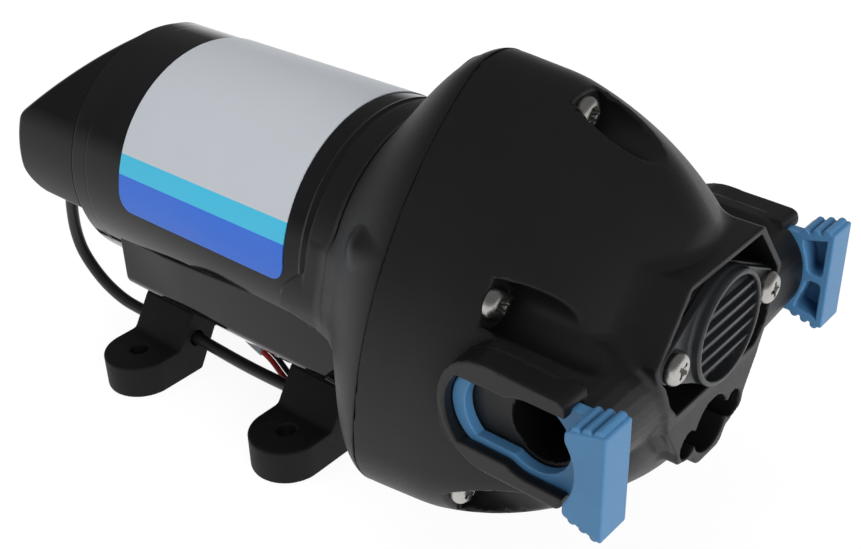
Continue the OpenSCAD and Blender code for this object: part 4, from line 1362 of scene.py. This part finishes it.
@dataclass
class Feet:
    """Four rubber feet with bolt holes and a passage for the cable."""

    dx: float = 55.0
    dy: float = 65.0
    width: float = 18.6
    pad: float = 9.3
    top: float = 18.0
    hole_r: float = 2.4
    sole_y: float = -20.0
    top_y: tuple[float, float] = (-21.0, -9.5)
    waist_y: float = -26.5
    passage: tuple[float, float] = (-20.4, 10.1)
    passage_r: float = 2.1

    def _near(self, x: Array, y: Array, z: Array) -> Array:
        """Field of a near foot with its hole at x = 0."""
        end = -0.5 * self.dy - 0.5 * self.width
        side = rounded_outline([
            (end - 2.0, 0.0, 0.0), (self.sole_y, 0.0, 1.0), (self.top_y[1], self.top, 0.3),
            (self.top_y[0], self.top, 0.4), (self.waist_y, self.pad, 1.6), (end - 2.0, self.pad, 0.0),
        ])
        half = 0.5 * self.width
        plan = np.where(y < -0.5 * self.dy, disc(x, y + 0.5 * self.dy, half), np.abs(x) - half)
        foot = meet_round(outline_distance(y, z, side), plan, 0.6)
        foot = cut_round(foot, disc(x, y + 0.5 * self.dy, self.hole_r) + 0.0 * z, 0.35)
        passage = disc(y - self.passage[0], z - self.passage[1], self.passage_r) + 0.0 * x
        return cut_round(foot, passage, 0.4)

    def build(self, bench: Bench) -> None:
        """Builds the four feet from one skin."""
        near = skin_field(self._near, even_axes((-10.2, -42.8, -0.9), (10.2, -8.5, 19.0), 0.45))
        for row, dx in (("rear", -0.5 * self.dx), ("front", 0.5 * self.dx)):
            for side, skin in (("near", near), ("far", near.mirrored())):
                moved = Skin(skin.points + np.array((dx, 0.0, 0.0)), skin.faces, skin.normals)
                foot = mesh_object(f"foot_{row}_{side}_rubber", moved)
                bench.fit(foot, "foot_rubber", Body.PUMP, f"foot_{row}_{side}")


@dataclass
class HeadOutline:
    """Rounded triangle of the pump head, apex up, about the head's own centre.

    Each ring of three screws is (seat's x, reach from the centre, first angle in degrees).
    """

    corner_c: float = 37.0
    corner_r: float = 16.0
    side_mid: float = 41.8
    drop: float = 1.5
    screw_rings: tuple[Point, ...] = ((87.1, 45.4, 90.0), (89.0, 36.0, 30.0))

    def reach(self, angle: Array) -> Array:
        """Distance of the outline from the head's centre at an angle from +Y.

        Args:
            angle: Angle in radians, in the plane of Y and Z.

        Returns:
            Distance in millimetres.
        """
        c, r, sixth = self.corner_c, self.corner_r, math.pi / 3.0
        t = np.mod(angle - 0.5 * math.pi, 2.0 * sixth)
        t = np.minimum(t, 2.0 * sixth - t)
        inner = self.side_mid - r
        e = (c**2 - inner**2) / (2.0 * inner - c)
        half = math.atan2(e * math.sin(sixth), c + 0.5 * e)
        knot = math.atan2(r * math.sin(half), c + r * math.cos(half))
        corner = c * np.cos(t) + np.sqrt(np.maximum(r**2 - (c * np.sin(t)) ** 2, 0.0))
        s = sixth - t
        side = np.sqrt((self.side_mid + e) ** 2 - (e * np.sin(s)) ** 2) - e * np.cos(s)
        return np.where(t < knot, corner, side)

    def steepness(self, angle: Array) -> Array:
        """Change of the reach with the angle, over the reach."""
        step = 1e-3
        return (self.reach(angle + step) - self.reach(angle - step)) / (2.0 * step * self.reach(angle))

    def screw_places(self) -> list[tuple[float, float, float]]:
        """Places of the six screws as (seat's x, y, height over the motor axis), corner ones first."""
        places = []
        for seat, reach, first in self.screw_rings:
            for i in range(3):
                turn = math.radians(first + 120.0 * i)
                places.append((seat, reach * math.cos(turn), reach * math.sin(turn) - self.drop))
        return places


@dataclass
class LowerHousing:
    """Flare between the can and the head, with its collar, screw bosses and cable glands.

    The cheek's outline is (x, height over the motor axis, radius).
    Glands and their holes are (y, z, radius).
    """

    head: HeadOutline
    x: tuple[float, float] = (45.0, 65.6)
    rear_r: float = 32.0
    bulge: float = 1.5
    collar_x: float = 38.4
    collar_r: float = 32.25
    collar_wall: float = 1.6
    cheek: tuple[Point, ...] = (
        (30.6, -7.0, 1.0), (45.0, -9.8, 0.0), (54.0, -12.0, 0.0), (54.0, 12.0, 0.0), (38.3, 12.0, 0.0),
        (37.4, 5.0, 3.0), (30.6, -1.5, 4.5),
    )
    cheek_r: float = 31.8
    cheek_rise: float = 2.3
    cheek_top: float = 8.0
    cheek_fall: float = 13.0
    cheek_join: float = 4.0
    boss_r: float = 4.6
    boss_end: float = 64.0
    nose_x: float = 57.2
    corner_boss_x: float = 59.4
    glands: tuple[Point, ...] = ((-18.0, 13.9, 3.4), (-11.05, 12.9, 3.3))
    gland_x: float = 55.6
    gland_holes: tuple[Point, ...] = ((-18.0, 13.9, 1.75), (-12.0, 12.9, 0.9), (-10.1, 12.9, 0.9))
    gland_hole_x: tuple[float, float] = (50.0, 60.6)
    cavity_x: float = 49.0
    cavity_r: float = 28.4
    bearing_r: float = 11.1

    def _flare(self, x: Array, y: Array, w: Array) -> Array:
        """Field of the flare, round at the can and triangular at the head."""
        span = self.x[1] - self.x[0]
        left = 1.0 - np.clip((x - self.x[0]) / span, 0.0, 1.0)
        share = 1.0 - left**self.bulge
        up = w + self.head.drop * share
        angle = np.arctan2(up, y)
        reach = self.head.reach(angle)
        radius = (1.0 - share) * self.rear_r + share * reach
        slope = self.bulge * left ** (self.bulge - 1.0) / span * (reach - self.rear_r)
        steep = self.head.steepness(angle) * share
        flare = (np.hypot(y, up) - radius) / np.sqrt(1.0 + slope * slope + steep * steep)
        return meet_round(flare, slab(x, *self.x), 0.16)

    def _cheek(self, x: Array, y: Array, w: Array) -> Array:
        """Field of the cheek that comes out of the collar over the base and runs on into the flare."""
        radius = self.cheek_r + self.cheek_rise * ease((self.cheek_top - w) / self.cheek_fall)
        side = outline_distance(x, w, rounded_outline(self.cheek))
        return meet_round(side, np.hypot(y, w) - radius, 1.5)

    def _collar(self, x: Array, y: Array, z: Array) -> Array:
        """Field of the collar round the can's band, with its two cheeks."""
        w = z - AXIS_H
        r = np.hypot(y, w)
        ring = meet_round(r - self.collar_r, self.collar_x - x, 0.25)
        cheek = join_round(self._flare(x, y, w), self._cheek(x, y, w), self.cheek_join)
        collar = np.maximum(join_round(ring, cheek, 1.0), x - self.x[0] - 0.4)
        return np.maximum(collar, self.collar_r - self.collar_wall - r)

    def shape(self, x: Array, y: Array, z: Array) -> Array:
        """Field of the whole lower housing."""
        w = z - AXIS_H
        body = self._flare(x, y, w)
        places = self.head.screw_places()
        for _, sy, sw in places[3:]:
            behind = np.maximum(self.nose_x - x, 0.0)
            nose = np.sqrt(behind**2 + (y - sy) ** 2 + (w - sw) ** 2) - self.boss_r
            body = join_round(body, np.maximum(nose, x - self.boss_end), 1.4)
        body = np.maximum(join_round(body, self._cheek(x, y, w), self.cheek_join), slab(x, *self.x))
        for _, sy, sw in places[:3]:
            boss = disc(y - sy, w - sw, self.boss_r)
            boss = meet_round(boss, slab(x, self.corner_boss_x, self.boss_end), 0.8)
            body = join_round(body, boss, 1.2)
        for gy, gz, outer in self.glands:
            gland = meet_round(disc(y - gy, z - gz, outer), slab(x, self.gland_x, self.boss_end), 0.6)
            body = join_round(body, gland, 0.8)
        for gy, gz, hole in self.gland_holes:
            body = cut_round(body, np.maximum(disc(y - gy, z - gz, hole), slab(x, *self.gland_hole_x)), 0.3)
        bearing = np.maximum(disc(y, w, self.bearing_r), slab(x, self.x[0] - 5.0, self.cavity_x + 1.0))
        cavity = np.maximum(disc(y, w, self.cavity_r), slab(x, self.cavity_x, self.x[1] + 4.4))
        return cut_round(cut_round(body, bearing, 0.3), cavity, 0.4)

    def build(self, bench: Bench) -> None:
        """Builds the lower housing and its collar."""
        axes = even_axes((44.4, -49.2, 7.8), (66.2, 49.2, 105.0), 0.6)
        axes[0] = graded_axis(44.4, (45.8, 0.16), (64.6, 0.64), (66.2, 0.14))
        skin = skin_field(self.shape, axes)
        bench.fit(mesh_object("lower_housing_flare", skin), "black_plastic", Body.PUMP, "lower_housing")
        reach = self.collar_r + 3.6
        axes = even_axes((30.0, -reach, AXIS_H - reach), (45.6, reach, AXIS_H + reach), 0.55)
        axes[0] = graded_axis(30.0, (38.0, 0.42), (39.0, 0.13), (44.6, 0.5), (46.0, 0.2))
        collar = mesh_object("lower_housing_collar", skin_field(self._collar, axes))
        bench.fit(collar, "black_plastic", Body.PUMP)


@dataclass
class SwitchOutlines:
    """Outlines round the pressure switch, as (y, height over the motor axis)."""

    rise: float = 8.2
    cap_r: float = 12.2
    ear_r: float = 3.8
    ear_y: float = 18.0
    box: tuple[tuple[float, float, float], ...] = (
        (14.2, 24.0, 2.0), (24.6, 10.6, 1.6), (19.6, -1.2, 4.0), (18.2, -7.6, 4.0),
        (13.6, -15.6, 2.2), (13.0, -18.8, 1.8), (6.8, -20.6, 1.8), (4.8, -24.0, 3.0),
    )
    recess: tuple[tuple[float, float, float], ...] = (
        (13.24, 22.4, 1.2), (22.68, 10.4, 2.0), (18.4, -0.4, 2.0), (15.2, -4.6, 0.6),
    )

    def box_field(self, a: Array, w: Array) -> Array:
        """Distance to the outline of the box."""
        return outline_distance(a, w, rounded_outline(both_sides(self.box)))

    def recess_field(self, a: Array, w: Array) -> Array:
        """Distance to the outline of the recess in the box."""
        return outline_distance(a, w, rounded_outline(both_sides(self.recess)))

    def flange_field(self, a: Array, w: Array) -> Array:
        """Distance to the lozenge of the cap's flange."""
        tilt = math.asin((self.cap_r - self.ear_r) / self.ear_y)
        v = np.abs(w - self.rise)
        along = a * math.cos(tilt) - v * math.sin(tilt)
        side = a * math.sin(tilt) + v * math.cos(tilt) - self.cap_r
        lozenge = np.where(along < 0.0, disc(a, v, self.cap_r), side)
        return np.where(along > self.ear_y * math.cos(tilt), disc(a - self.ear_y, v, self.ear_r), lozenge)


@dataclass
class UpperHousing:
    """Dome of the pump head with its two port bosses and the switch box.

    Chambers and switch bores are (radius, x of the end inside the housing).
    """

    head: HeadOutline
    switch: SwitchOutlines
    seam_x: float = 65.6
    draft: float = 0.00174
    dome_x: float = 67.8
    dome_len: float = 57.4
    dome_front: float = 117.8
    groove_r: float = 5.2
    port_x: float = 107.0
    port_r: float = 7.2
    boss_half: float = 12.3
    boss_rise: float = 1.2
    boss_draft: float = 0.05
    boss_reach: float = 44.5
    boss_rear: float = 85.5
    boss_front: float = 119.9
    plate_front: float = 115.0
    plate_corner: float = 2.0
    bore_floor: float = 14.0
    slot_in: float = 39.1
    slot_out: float = 42.1
    slot_x: float = 87.1
    slot_half: float = 10.2
    mouth: Point = (87.5, 7.6, 11.5)
    eye_r: float = 9.0
    passage_x: float = 87.1
    passage_r: float = 5.0
    chambers: tuple[tuple[float, float], ...] = ((33.0, 78.0), (27.5, 88.1))
    box_rear: float = 98.0
    box_x: float = 121.2
    recess_x: float = 118.75
    pocket_x: float = 112.2
    switch_bores: tuple[tuple[float, float], ...] = ((9.0, 112.2), (6.0, 87.0))
    switch_end: float = 120.0
    socket_drop: float = 16.0
    socket_r: float = 6.4
    socket_floor: float = 105.2
    lobe_y: float = 8.9
    lobe_r: float = 3.1

    def _dome(self, x: Array, a: Array, w: Array) -> Array:
        """Field of the drafted skirt and the dome in front of it."""
        up = w + self.head.drop
        angle = np.arctan2(up, a)
        reach = self.head.reach(angle)
        lean = np.hypot(1.0, self.head.steepness(angle))
        g = np.hypot(a, up) / reach
        skirt = (g - 1.0 + self.draft * (x - self.seam_x)) * reach / lean
        t = np.maximum(x - self.dome_x, 0.0) / self.dome_len
        s = np.sqrt(g * g + t * t) + 1e-6
        slope = np.sqrt((g * lean / (s * reach)) ** 2 + (t / (s * self.dome_len)) ** 2 + 1e-9)
        shell = meet_round(skirt, (s - 1.0) / slope, 0.3)
        shell = meet_round(shell, self.seam_x - x, 0.16)
        return meet_round(shell, x - self.dome_front, 3.0)

    def _boss(self, x: Array, a: Array, w: Array) -> Array:
        """Field of a port boss, with its outer plate."""
        h, end = self.boss_half, self.boss_half - 0.5
        rear = [(self.boss_rear, -h, end), (self.boss_rear, h + self.boss_rise, end)]
        sides = []
        for front, corner in ((self.boss_front, end), (self.plate_front, self.plate_corner)):
            points = rounded_outline([rear[0], (front, -h, corner), (front, h, corner), rear[1]])
            sides.append(outline_distance(x, w, points))
        grown = np.clip(self.slot_in - a, 0.0, 25.0) * self.boss_draft
        inner = meet_round(sides[0] - grown, a - self.slot_in, 0.4)
        outer = meet_round(sides[1], a - self.boss_reach, 0.4)
        return np.minimum(inner, np.maximum(outer, self.slot_in - 2.0 - a))

    def _cuts(self, x: Array, a: Array, w: Array) -> list[tuple[Array, float]]:
        """Fields to cut out of the housing, each with the radius of its edge."""
        cuts: list[tuple[Array, float]] = []
        for seat, sy, sw in self.head.screw_places():
            if sy > -0.1:
                cuts.append((np.maximum(disc(a - sy, w - sw, self.groove_r), seat - x), 0.6))
        slot = open_slot(x, w, self.slot_x, self.slot_half, self.slot_half)
        eye = open_slot(x, w, self.port_x - self.eye_r, self.eye_r, self.eye_r)
        mouth = np.minimum(np.maximum(open_slot(x, w, *self.mouth), x - self.port_x), eye)
        passage = disc(a - self.bore_floor, w, self.passage_r)
        cuts += [
            (np.maximum(disc(x - self.port_x, w, self.port_r), self.bore_floor - a), 0.8),
            (np.maximum(slot, slab(a, self.slot_in, self.slot_out)), 0.2),
            (np.maximum(mouth, self.slot_out - 0.2 - a), 0.4),
            (np.maximum(passage, slab(x, self.passage_x, self.port_x)), 0.3),
        ]
        cuts += [(np.maximum(disc(a, w, r), x - end), 0.3) for r, end in self.chambers]
        up = w - self.switch.rise
        recess = self.switch.recess_field(a, w)
        ears = disc(a - self.switch.ear_y, up, self.switch.ear_r + 0.25)
        pockets = np.maximum(recess, 0.4 - self.switch.flange_field(a, w))
        cuts += [
            (np.maximum(np.minimum(recess, ears), self.recess_x - x), 0.3),
            (np.maximum(pockets, self.pocket_x - x), 0.3),
        ]
        for r, end in self.switch_bores:
            cuts.append((np.maximum(disc(a, up, r), slab(x, end, self.switch_end)), 0.3))
        under = w + self.socket_drop
        lobes = np.minimum(disc(a, under, self.socket_r), disc(a - self.lobe_y, under, self.lobe_r))
        cuts.append((np.maximum(lobes, self.socket_floor - x), 0.35))
        return cuts

    def shape(self, x: Array, y: Array, z: Array) -> Array:
        """Field of the whole upper housing."""
        a = np.abs(y)
        w = z - AXIS_H
        body = join_round(self._dome(x, a, w), self._boss(x, a, w), 1.0)
        box = meet_round(self.switch.box_field(a, w), slab(x, self.box_rear, self.box_x), 0.45)
        body = join_round(body, box, 1.8)
        for cut, edge in self._cuts(x, a, w):
            body = cut_round(body, cut, edge)
        return body

    def build(self, bench: Bench) -> None:
        """Builds the upper housing."""
        half = graded_axis(0.0, (26.0, 0.6), (37.6, 1.25), (45.2, 0.52), (49.4, 1.25))
        axes = [
            graded_axis(64.8, (66.6, 0.16), (84.0, 1.35), (99.0, 1.0), (104.0, 0.7), (122.2, 0.52)),
            np.concatenate([-half[:0:-1], half]),
            graded_axis(7.6, (27.0, 1.25), (79.0, 0.62), (105.4, 1.25)),
        ]
        skin = skin_field(self.shape, axes)
        bench.fit(mesh_object("upper_housing_dome", skin), "black_plastic", Body.PUMP, "upper_housing")


@dataclass
class SlideClip:
    """Blue slide clip with its keyhole plate and ribbed grip."""

    port_x: float = 107.0
    plate: tuple[float, float] = (39.3, 41.9)
    plate_x: float = 87.3
    half: float = 10.0
    neck_half: float = 6.6
    neck_end_r: float = 9.0
    eye_r: float = 8.0
    grip_x: tuple[float, float] = (117.0, 125.6)
    grip_out: float = 47.5
    grip_half: float = 11.9
    grip_taper: float = 2.4
    ridge_r: float = 0.95
    ridge_first: float = 2.0
    ridge_pitch: float = 2.4
    ridges: int = 3
    plate_end: float = 118.5
    neck_in: float = 3.2
    hollow_r: float = 12.2
    pocket_wall: float = 1.6
    pocket_r: float = 13.7
    pocket_out: float = 44.7
    web_half: float = 0.9

    def _near(self, x: Array, y: Array, z: Array) -> Array:
        """Field of the near clip."""
        a = -y
        w = z - AXIS_H
        g0, g1 = self.grip_x
        plate = np.maximum(open_slot(x, w, self.plate_x, self.half, self.half), x - self.plate_end)
        plate = meet_round(plate, slab(a, *self.plate), 0.35)
        neck = open_slot(x, w, self.plate_x + self.neck_in, self.neck_half, self.neck_end_r)
        hole = np.minimum(np.maximum(neck, x - self.port_x), disc(x - self.port_x, w, self.eye_r))
        half, rear_half = self.grip_half, self.grip_half - self.grip_taper
        side = rounded_outline([
            (g0, -rear_half, 1.0), (g1, -half, 0.45), (g1, half, 0.45), (g0, rear_half, 1.0),
        ])
        outline = outline_distance(x, w, side)
        grip = meet_round(outline, slab(a, self.plate[0], self.grip_out), 0.35)
        top = np.abs(w)
        for i in range(self.ridges):
            at = self.ridge_first + self.ridge_pitch * i
            height = half - self.grip_taper * (1.0 - at / (g1 - g0))
            ridge = disc(x - g0 - at, top - height, self.ridge_r)
            ridge = meet_round(ridge, slab(a, self.plate[0], self.grip_out - 0.35), 0.3)
            grip = join_round(grip, ridge, 0.15)
        hollow = np.maximum(disc(x - self.port_x, w, self.hollow_r), self.plate[1] - a)
        grip = cut_round(grip, hollow, 0.5)
        wall = meet_round(outline + self.pocket_wall, self.pocket_r - np.hypot(x - self.port_x, w), 1.2)
        pocket = meet_round(wall, self.web_half - top, 1.2)
        grip = cut_round(grip, np.maximum(pocket, a - self.pocket_out), 0.35)
        clip = join_round(plate, grip, 0.5)
        clip = np.maximum(clip, self.plate[0] - a)
        return cut_round(clip, np.maximum(hole, a - self.plate[1] - 1.0), 0.3)

    def build(self, bench: Bench) -> None:
        """Builds both clips from one skin."""
        axes = [
            graded_axis(86.6, (115.0, 0.42), (126.4, 0.26)), graded_axis(-48.2, (-38.8, 0.28)),
            graded_axis(AXIS_H - 13.6, (AXIS_H + 13.6, 0.3)),
        ]
        near = skin_field(self._near, axes)
        bench.fit(mesh_object("near_clip_slide", near), "blue_plastic", Body.NEAR_CLIP, "near_clip")
        bench.fit(mesh_object("far_clip_slide", near.mirrored()), "blue_plastic", Body.FAR_CLIP, "far_clip")


class TreeMaker:
    """Small helper for building one geometry node tree."""

    SHARP = math.radians(38.0)

    def __init__(self, name: str, inputs: Sequence[tuple[str, str, object]]) -> None:
        """Starts a tree.

        Args:
            name: Name of the tree.
            inputs: Inputs as (name, socket type, default).
        """
        self.tree = bpy.data.node_groups.new(name, "GeometryNodeTree")
        self.names: dict[str, str] = {}
        self.tree.interface.new_socket("Geometry", in_out="INPUT", socket_type="NodeSocketGeometry")
        for label, kind, default in inputs:
            socket = self.tree.interface.new_socket(label, in_out="INPUT", socket_type=kind)
            if default is not None:
                socket.default_value = default
            self.names[label] = socket.identifier
        self.tree.interface.new_socket("Geometry", in_out="OUTPUT", socket_type="NodeSocketGeometry")
        self.enter = self.tree.nodes.new("NodeGroupInput")
        self.leave = self.tree.nodes.new("NodeGroupOutput")

    def add(self, kind: str, links: dict[object, object] | None = None, **settings: object) -> bpy.types.Node:
        """Adds a node.

        Args:
            kind: Type of the node.
            links: Input name or index to a socket or a value.
            settings: Properties of the node.

        Returns:
            The node.
        """
        node = self.tree.nodes.new(kind)
        for name, value in settings.items():
            setattr(node, name, value)
        for key, value in (links or {}).items():
            if isinstance(value, bpy.types.NodeSocket):
                self.tree.links.new(value, node.inputs[key])
            else:
                node.inputs[key].default_value = value
        return node

    def math(self, operation: str, *values: object) -> bpy.types.NodeSocket:
        """Adds a math node and gives its output."""
        return self.add("ShaderNodeMath", dict(enumerate(values)), operation=operation).outputs[0]

    def end(self, geometry: bpy.types.NodeSocket, material: bpy.types.NodeSocket) -> None:
        """Closes the tree with real meshes and a material."""
        real = self.add("GeometryNodeRealizeInstances", {"Geometry": geometry})
        dressed = self.add("GeometryNodeSetMaterial", {"Geometry": real.outputs[0], "Material": material})
        self.tree.links.new(dressed.outputs[0], self.leave.inputs[0])

    def run(
        self, name: str, points: Array, values: dict[str, object], bevel: float = 0.0
    ) -> bpy.types.Object:
        """Runs the tree on points and makes a plain mesh of the result.

        Args:
            name: Name of the piece.
            points: Points in millimetres, one row each.
            values: Input values by name.
            bevel: Edge radius in millimetres, or nought for none.

        Returns:
            The finished object.
        """
        mesh = bpy.data.meshes.new(name + "_points")
        mesh.from_pydata((points * MM).tolist(), [], [])
        carrier = bpy.data.objects.new(name + "_carrier", mesh)
        bpy.context.scene.collection.objects.link(carrier)
        modifier = carrier.modifiers.new("tree", "NODES")
        modifier.node_group = self.tree
        for label, value in values.items():
            modifier[self.names[label]] = value
        if bevel > 0.0:
            edge = carrier.modifiers.new("edge", "BEVEL")
            edge.width = bevel * MM
            edge.segments = 2
        graph = bpy.context.evaluated_depsgraph_get()
        result = bpy.data.meshes.new_from_object(carrier.evaluated_get(graph), depsgraph=graph)
        result.name = name
        bpy.data.objects.remove(carrier)
        result.shade_smooth()
        result.set_sharp_from_angle(angle=self.SHARP)
        obj = bpy.data.objects.new(name, result)
        bpy.context.scene.collection.objects.link(obj)
        return obj


@dataclass
class Screws:
    """Bright pan-head cross-recess screws of the head and of the switch cap."""

    head: HeadOutline
    head_r: float = 3.5
    head_h: float = 2.5
    dome_r: float = 1.8
    arm: float = 1.8
    arm_w: float = 0.42
    recess_floor: float = 1.0
    recess_slope: float = 0.42
    arm_slope: float = 0.1
    core_r: float = 1.05
    shank_r: float = 2.0
    shank_sides: int = 20
    shank_len: float = 25.0
    cap_shank_len: float = 5.9
    lift: float = 0.01
    most_turn: float = 1.5 * math.pi
    seeds: tuple[int, int] = (4, 9)
    cap_places: tuple[Point, ...] = ((120.8, -18.0, 8.2), (120.8, 18.0, 8.2))

    def _head_field(self, x: Array, y: Array, z: Array) -> Array:
        """Field of one head on the origin, facing +X, with its cross recess."""
        r = np.hypot(y, z)
        body = meet_round(meet_round(r - self.head_r, x - self.head_h, self.dome_r), -x + 0.0 * r, 0.12)
        taper = self.recess_slope * (self.head_h - x)
        u, v = np.abs(y), np.abs(z)
        cross = np.minimum(
            np.maximum(u - self.arm + taper, v - self.arm_w + self.arm_slope * taper),
            np.maximum(v - self.arm + taper, u - self.arm_w + self.arm_slope * taper),
        )
        cross = np.minimum(cross, 0.7 * (r - self.core_r + taper))
        return cut_round(body, np.maximum(cross, self.recess_floor - x), 0.12)

    def _tree(self) -> TreeMaker:
        """Node tree that puts a head and a shank on each point, each turned by its own chance."""
        maker = TreeMaker("screw_set", [
            ("Head", "NodeSocketObject", None),
            ("Shank Radius", "NodeSocketFloat", 0.002),
            ("Shank Length", "NodeSocketFloat", 0.02),
            ("Seed", "NodeSocketInt", 0),
            ("Material", "NodeSocketMaterial", None),
        ])
        enter = maker.enter.outputs
        head = maker.add("GeometryNodeObjectInfo", {"Object": enter["Head"]}, transform_space="ORIGINAL")
        shank = maker.add("GeometryNodeMeshCylinder", {
            "Vertices": self.shank_sides, "Radius": enter["Shank Radius"], "Depth": enter["Shank Length"],
        })
        back = maker.add("ShaderNodeCombineXYZ", {0: maker.math("MULTIPLY", enter["Shank Length"], -0.5)})
        laid = maker.add("GeometryNodeTransform", {
            "Geometry": shank.outputs["Mesh"], "Translation": back.outputs[0],
            "Rotation": (0.0, 0.5 * math.pi, 0.0),
        })
        whole = maker.add("GeometryNodeJoinGeometry")
        maker.tree.links.new(laid.outputs[0], whole.inputs[0])
        maker.tree.links.new(head.outputs["Geometry"], whole.inputs[0])
        limits = {3: self.most_turn, "Seed": enter["Seed"]}
        chance = maker.add("FunctionNodeRandomValue", limits, data_type="FLOAT")
        angle = maker.add("ShaderNodeCombineXYZ", {0: chance.outputs[1]})
        turn = maker.add("FunctionNodeEulerToRotation", {0: angle.outputs[0]})
        placed = maker.add("GeometryNodeInstanceOnPoints", {
            "Points": enter["Geometry"], "Instance": whole.outputs[0], "Rotation": turn.outputs[0],
        })
        maker.end(placed.outputs[0], enter["Material"])
        return maker

    def build(self, bench: Bench) -> None:
        """Builds the six housing screws and the two cap screws."""
        skin = skin_field(self._head_field, even_axes((-0.3, -4.3, -4.3), (3.0, 4.3, 4.3), 0.14))
        pattern = mesh_object("screw_pattern", skin)
        maker = self._tree()
        sets = (
            ("housing_screw_set", "housing_screws", self.head.screw_places(), self.shank_len, self.seeds[0]),
            ("cap_screw_set", "cap_screws", self.cap_places, self.cap_shank_len, self.seeds[1]),
        )
        for name, node, places, shank, seed in sets:
            points = np.array([(seat + self.lift, y, AXIS_H + w) for seat, y, w in places])
            values = {
                "Head": pattern, "Shank Radius": self.shank_r * MM, "Shank Length": shank * MM, "Seed": seed,
                "Material": bench.materials["screw_steel"],
            }
            bench.fit(maker.run(name, points, values), "screw_steel", Body.PUMP, node)
        bpy.data.objects.remove(pattern)


@dataclass
class SwitchCap:
    """Slotted cap of the pressure switch, with slanted floors between its blades."""

    switch: SwitchOutlines
    flange_x: tuple[float, float] = (118.8, 120.8)
    front_x: float = 123.2
    rim_in: float = 11.1
    pitch: float = 3.2
    blades: int = 5
    blade_t: float = 0.85
    blade_edge: float = 0.12
    blade_x: tuple[float, float] = (119.2, 122.7)
    floor_x: tuple[float, float] = (119.5, 121.7)

    def _body(self, x: Array, y: Array, z: Array) -> Array:
        """Field of the cap with its lozenge flange, proud rim and louvre floors."""
        a = np.abs(y)
        w = z - AXIS_H
        up = w - self.switch.rise
        flange = meet_round(self.switch.flange_field(a, w), slab(x, *self.flange_x), 0.35)
        cap = meet_round(disc(a, up, self.switch.cap_r), slab(x, self.flange_x[0], self.front_x), 0.5)
        cap = join_round(flange, cap, 0.9)
        step = np.mod(up, self.pitch) / self.pitch
        floor = self.floor_x[1] - (self.floor_x[1] - self.floor_x[0]) * step
        well = np.maximum(disc(a, up, self.rim_in), 0.8 * (floor - x))
        return cut_round(cap, well, 0.25)

    def _tree(self) -> TreeMaker:
        """Node tree that sets a row of blades across the rim, each as long as the rim lets it be."""
        maker = TreeMaker("louvre_blades", [
            ("Radius", "NodeSocketFloat", 0.0111),
            ("Depth", "NodeSocketFloat", 0.0035),
            ("Thickness", "NodeSocketFloat", 0.0008),
            ("Centre", "NodeSocketVector", None),
            ("Material", "NodeSocketMaterial", None),
        ])
        enter = maker.enter.outputs
        spot = maker.add("GeometryNodeInputPosition")
        height = maker.add("ShaderNodeSeparateXYZ", {0: spot.outputs[0]}).outputs[2]
        rim, rise = (maker.math("POWER", value, 2.0) for value in (enter["Radius"], height))
        length = maker.math("MULTIPLY", maker.math("SQRT", maker.math("SUBTRACT", rim, rise)), 2.0)
        size = maker.add("ShaderNodeCombineXYZ", {0: enter["Depth"], 1: length, 2: enter["Thickness"]})
        cube = maker.add("GeometryNodeMeshCube", {"Size": (1.0, 1.0, 1.0)})
        rows = maker.add("GeometryNodeInstanceOnPoints", {
            "Points": enter["Geometry"], "Instance": cube.outputs["Mesh"], "Scale": size.outputs[0],
        })
        moved = maker.add("GeometryNodeTransform", {
            "Geometry": rows.outputs[0], "Translation": enter["Centre"],
        })
        maker.end(moved.outputs[0], enter["Material"])
        return maker

    def build(self, bench: Bench) -> None:
        """Builds the cap and its blades."""
        z0 = AXIS_H + self.switch.rise
        skin = skin_field(self._body, even_axes((118.2, -22.6, z0 - 13.0), (123.9, 22.6, z0 + 13.0), 0.28))
        bench.fit(mesh_object("switch_cap_body", skin), "cap_plastic", Body.PUMP, "switch_cap")
        low, high = self.blade_x
        heights = self.pitch * (np.arange(self.blades) - 0.5 * (self.blades - 1))
        points = np.stack([np.zeros(self.blades), np.zeros(self.blades), heights], 1)
        values = {
            "Radius": self.rim_in * MM, "Depth": (high - low) * MM, "Thickness": self.blade_t * MM,
            "Centre": [0.5 * (low + high) * MM, 0.0, z0 * MM], "Material": bench.materials["cap_plastic"],
        }
        row = self._tree().run("switch_cap_blades", points, values, self.blade_edge)
        bench.fit(row, "cap_plastic", Body.PUMP)


def main() -> None:
    """Loads the frame, builds the pump's pieces in order and sets up the studio."""
    logging.basicConfig(level=logging.INFO, format="%(name)s %(message)s")
    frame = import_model()
    studio = Studio()
    studio.set_camera()
    bench = Bench(frame["nodes"])
    Wiring().build(bench)
    head = HeadOutline()
    switch = SwitchOutlines()
    assemblies = (
        Motor(), Feet(), LowerHousing(head), UpperHousing(head, switch), SlideClip(), Screws(head),
        SwitchCap(switch),
    )
    for assembly in assemblies:
        assembly.build(bench)
    bench.dress_nodes()
    studio.set_floor()
    studio.set_light()


if __name__ == "__main__":
    main()
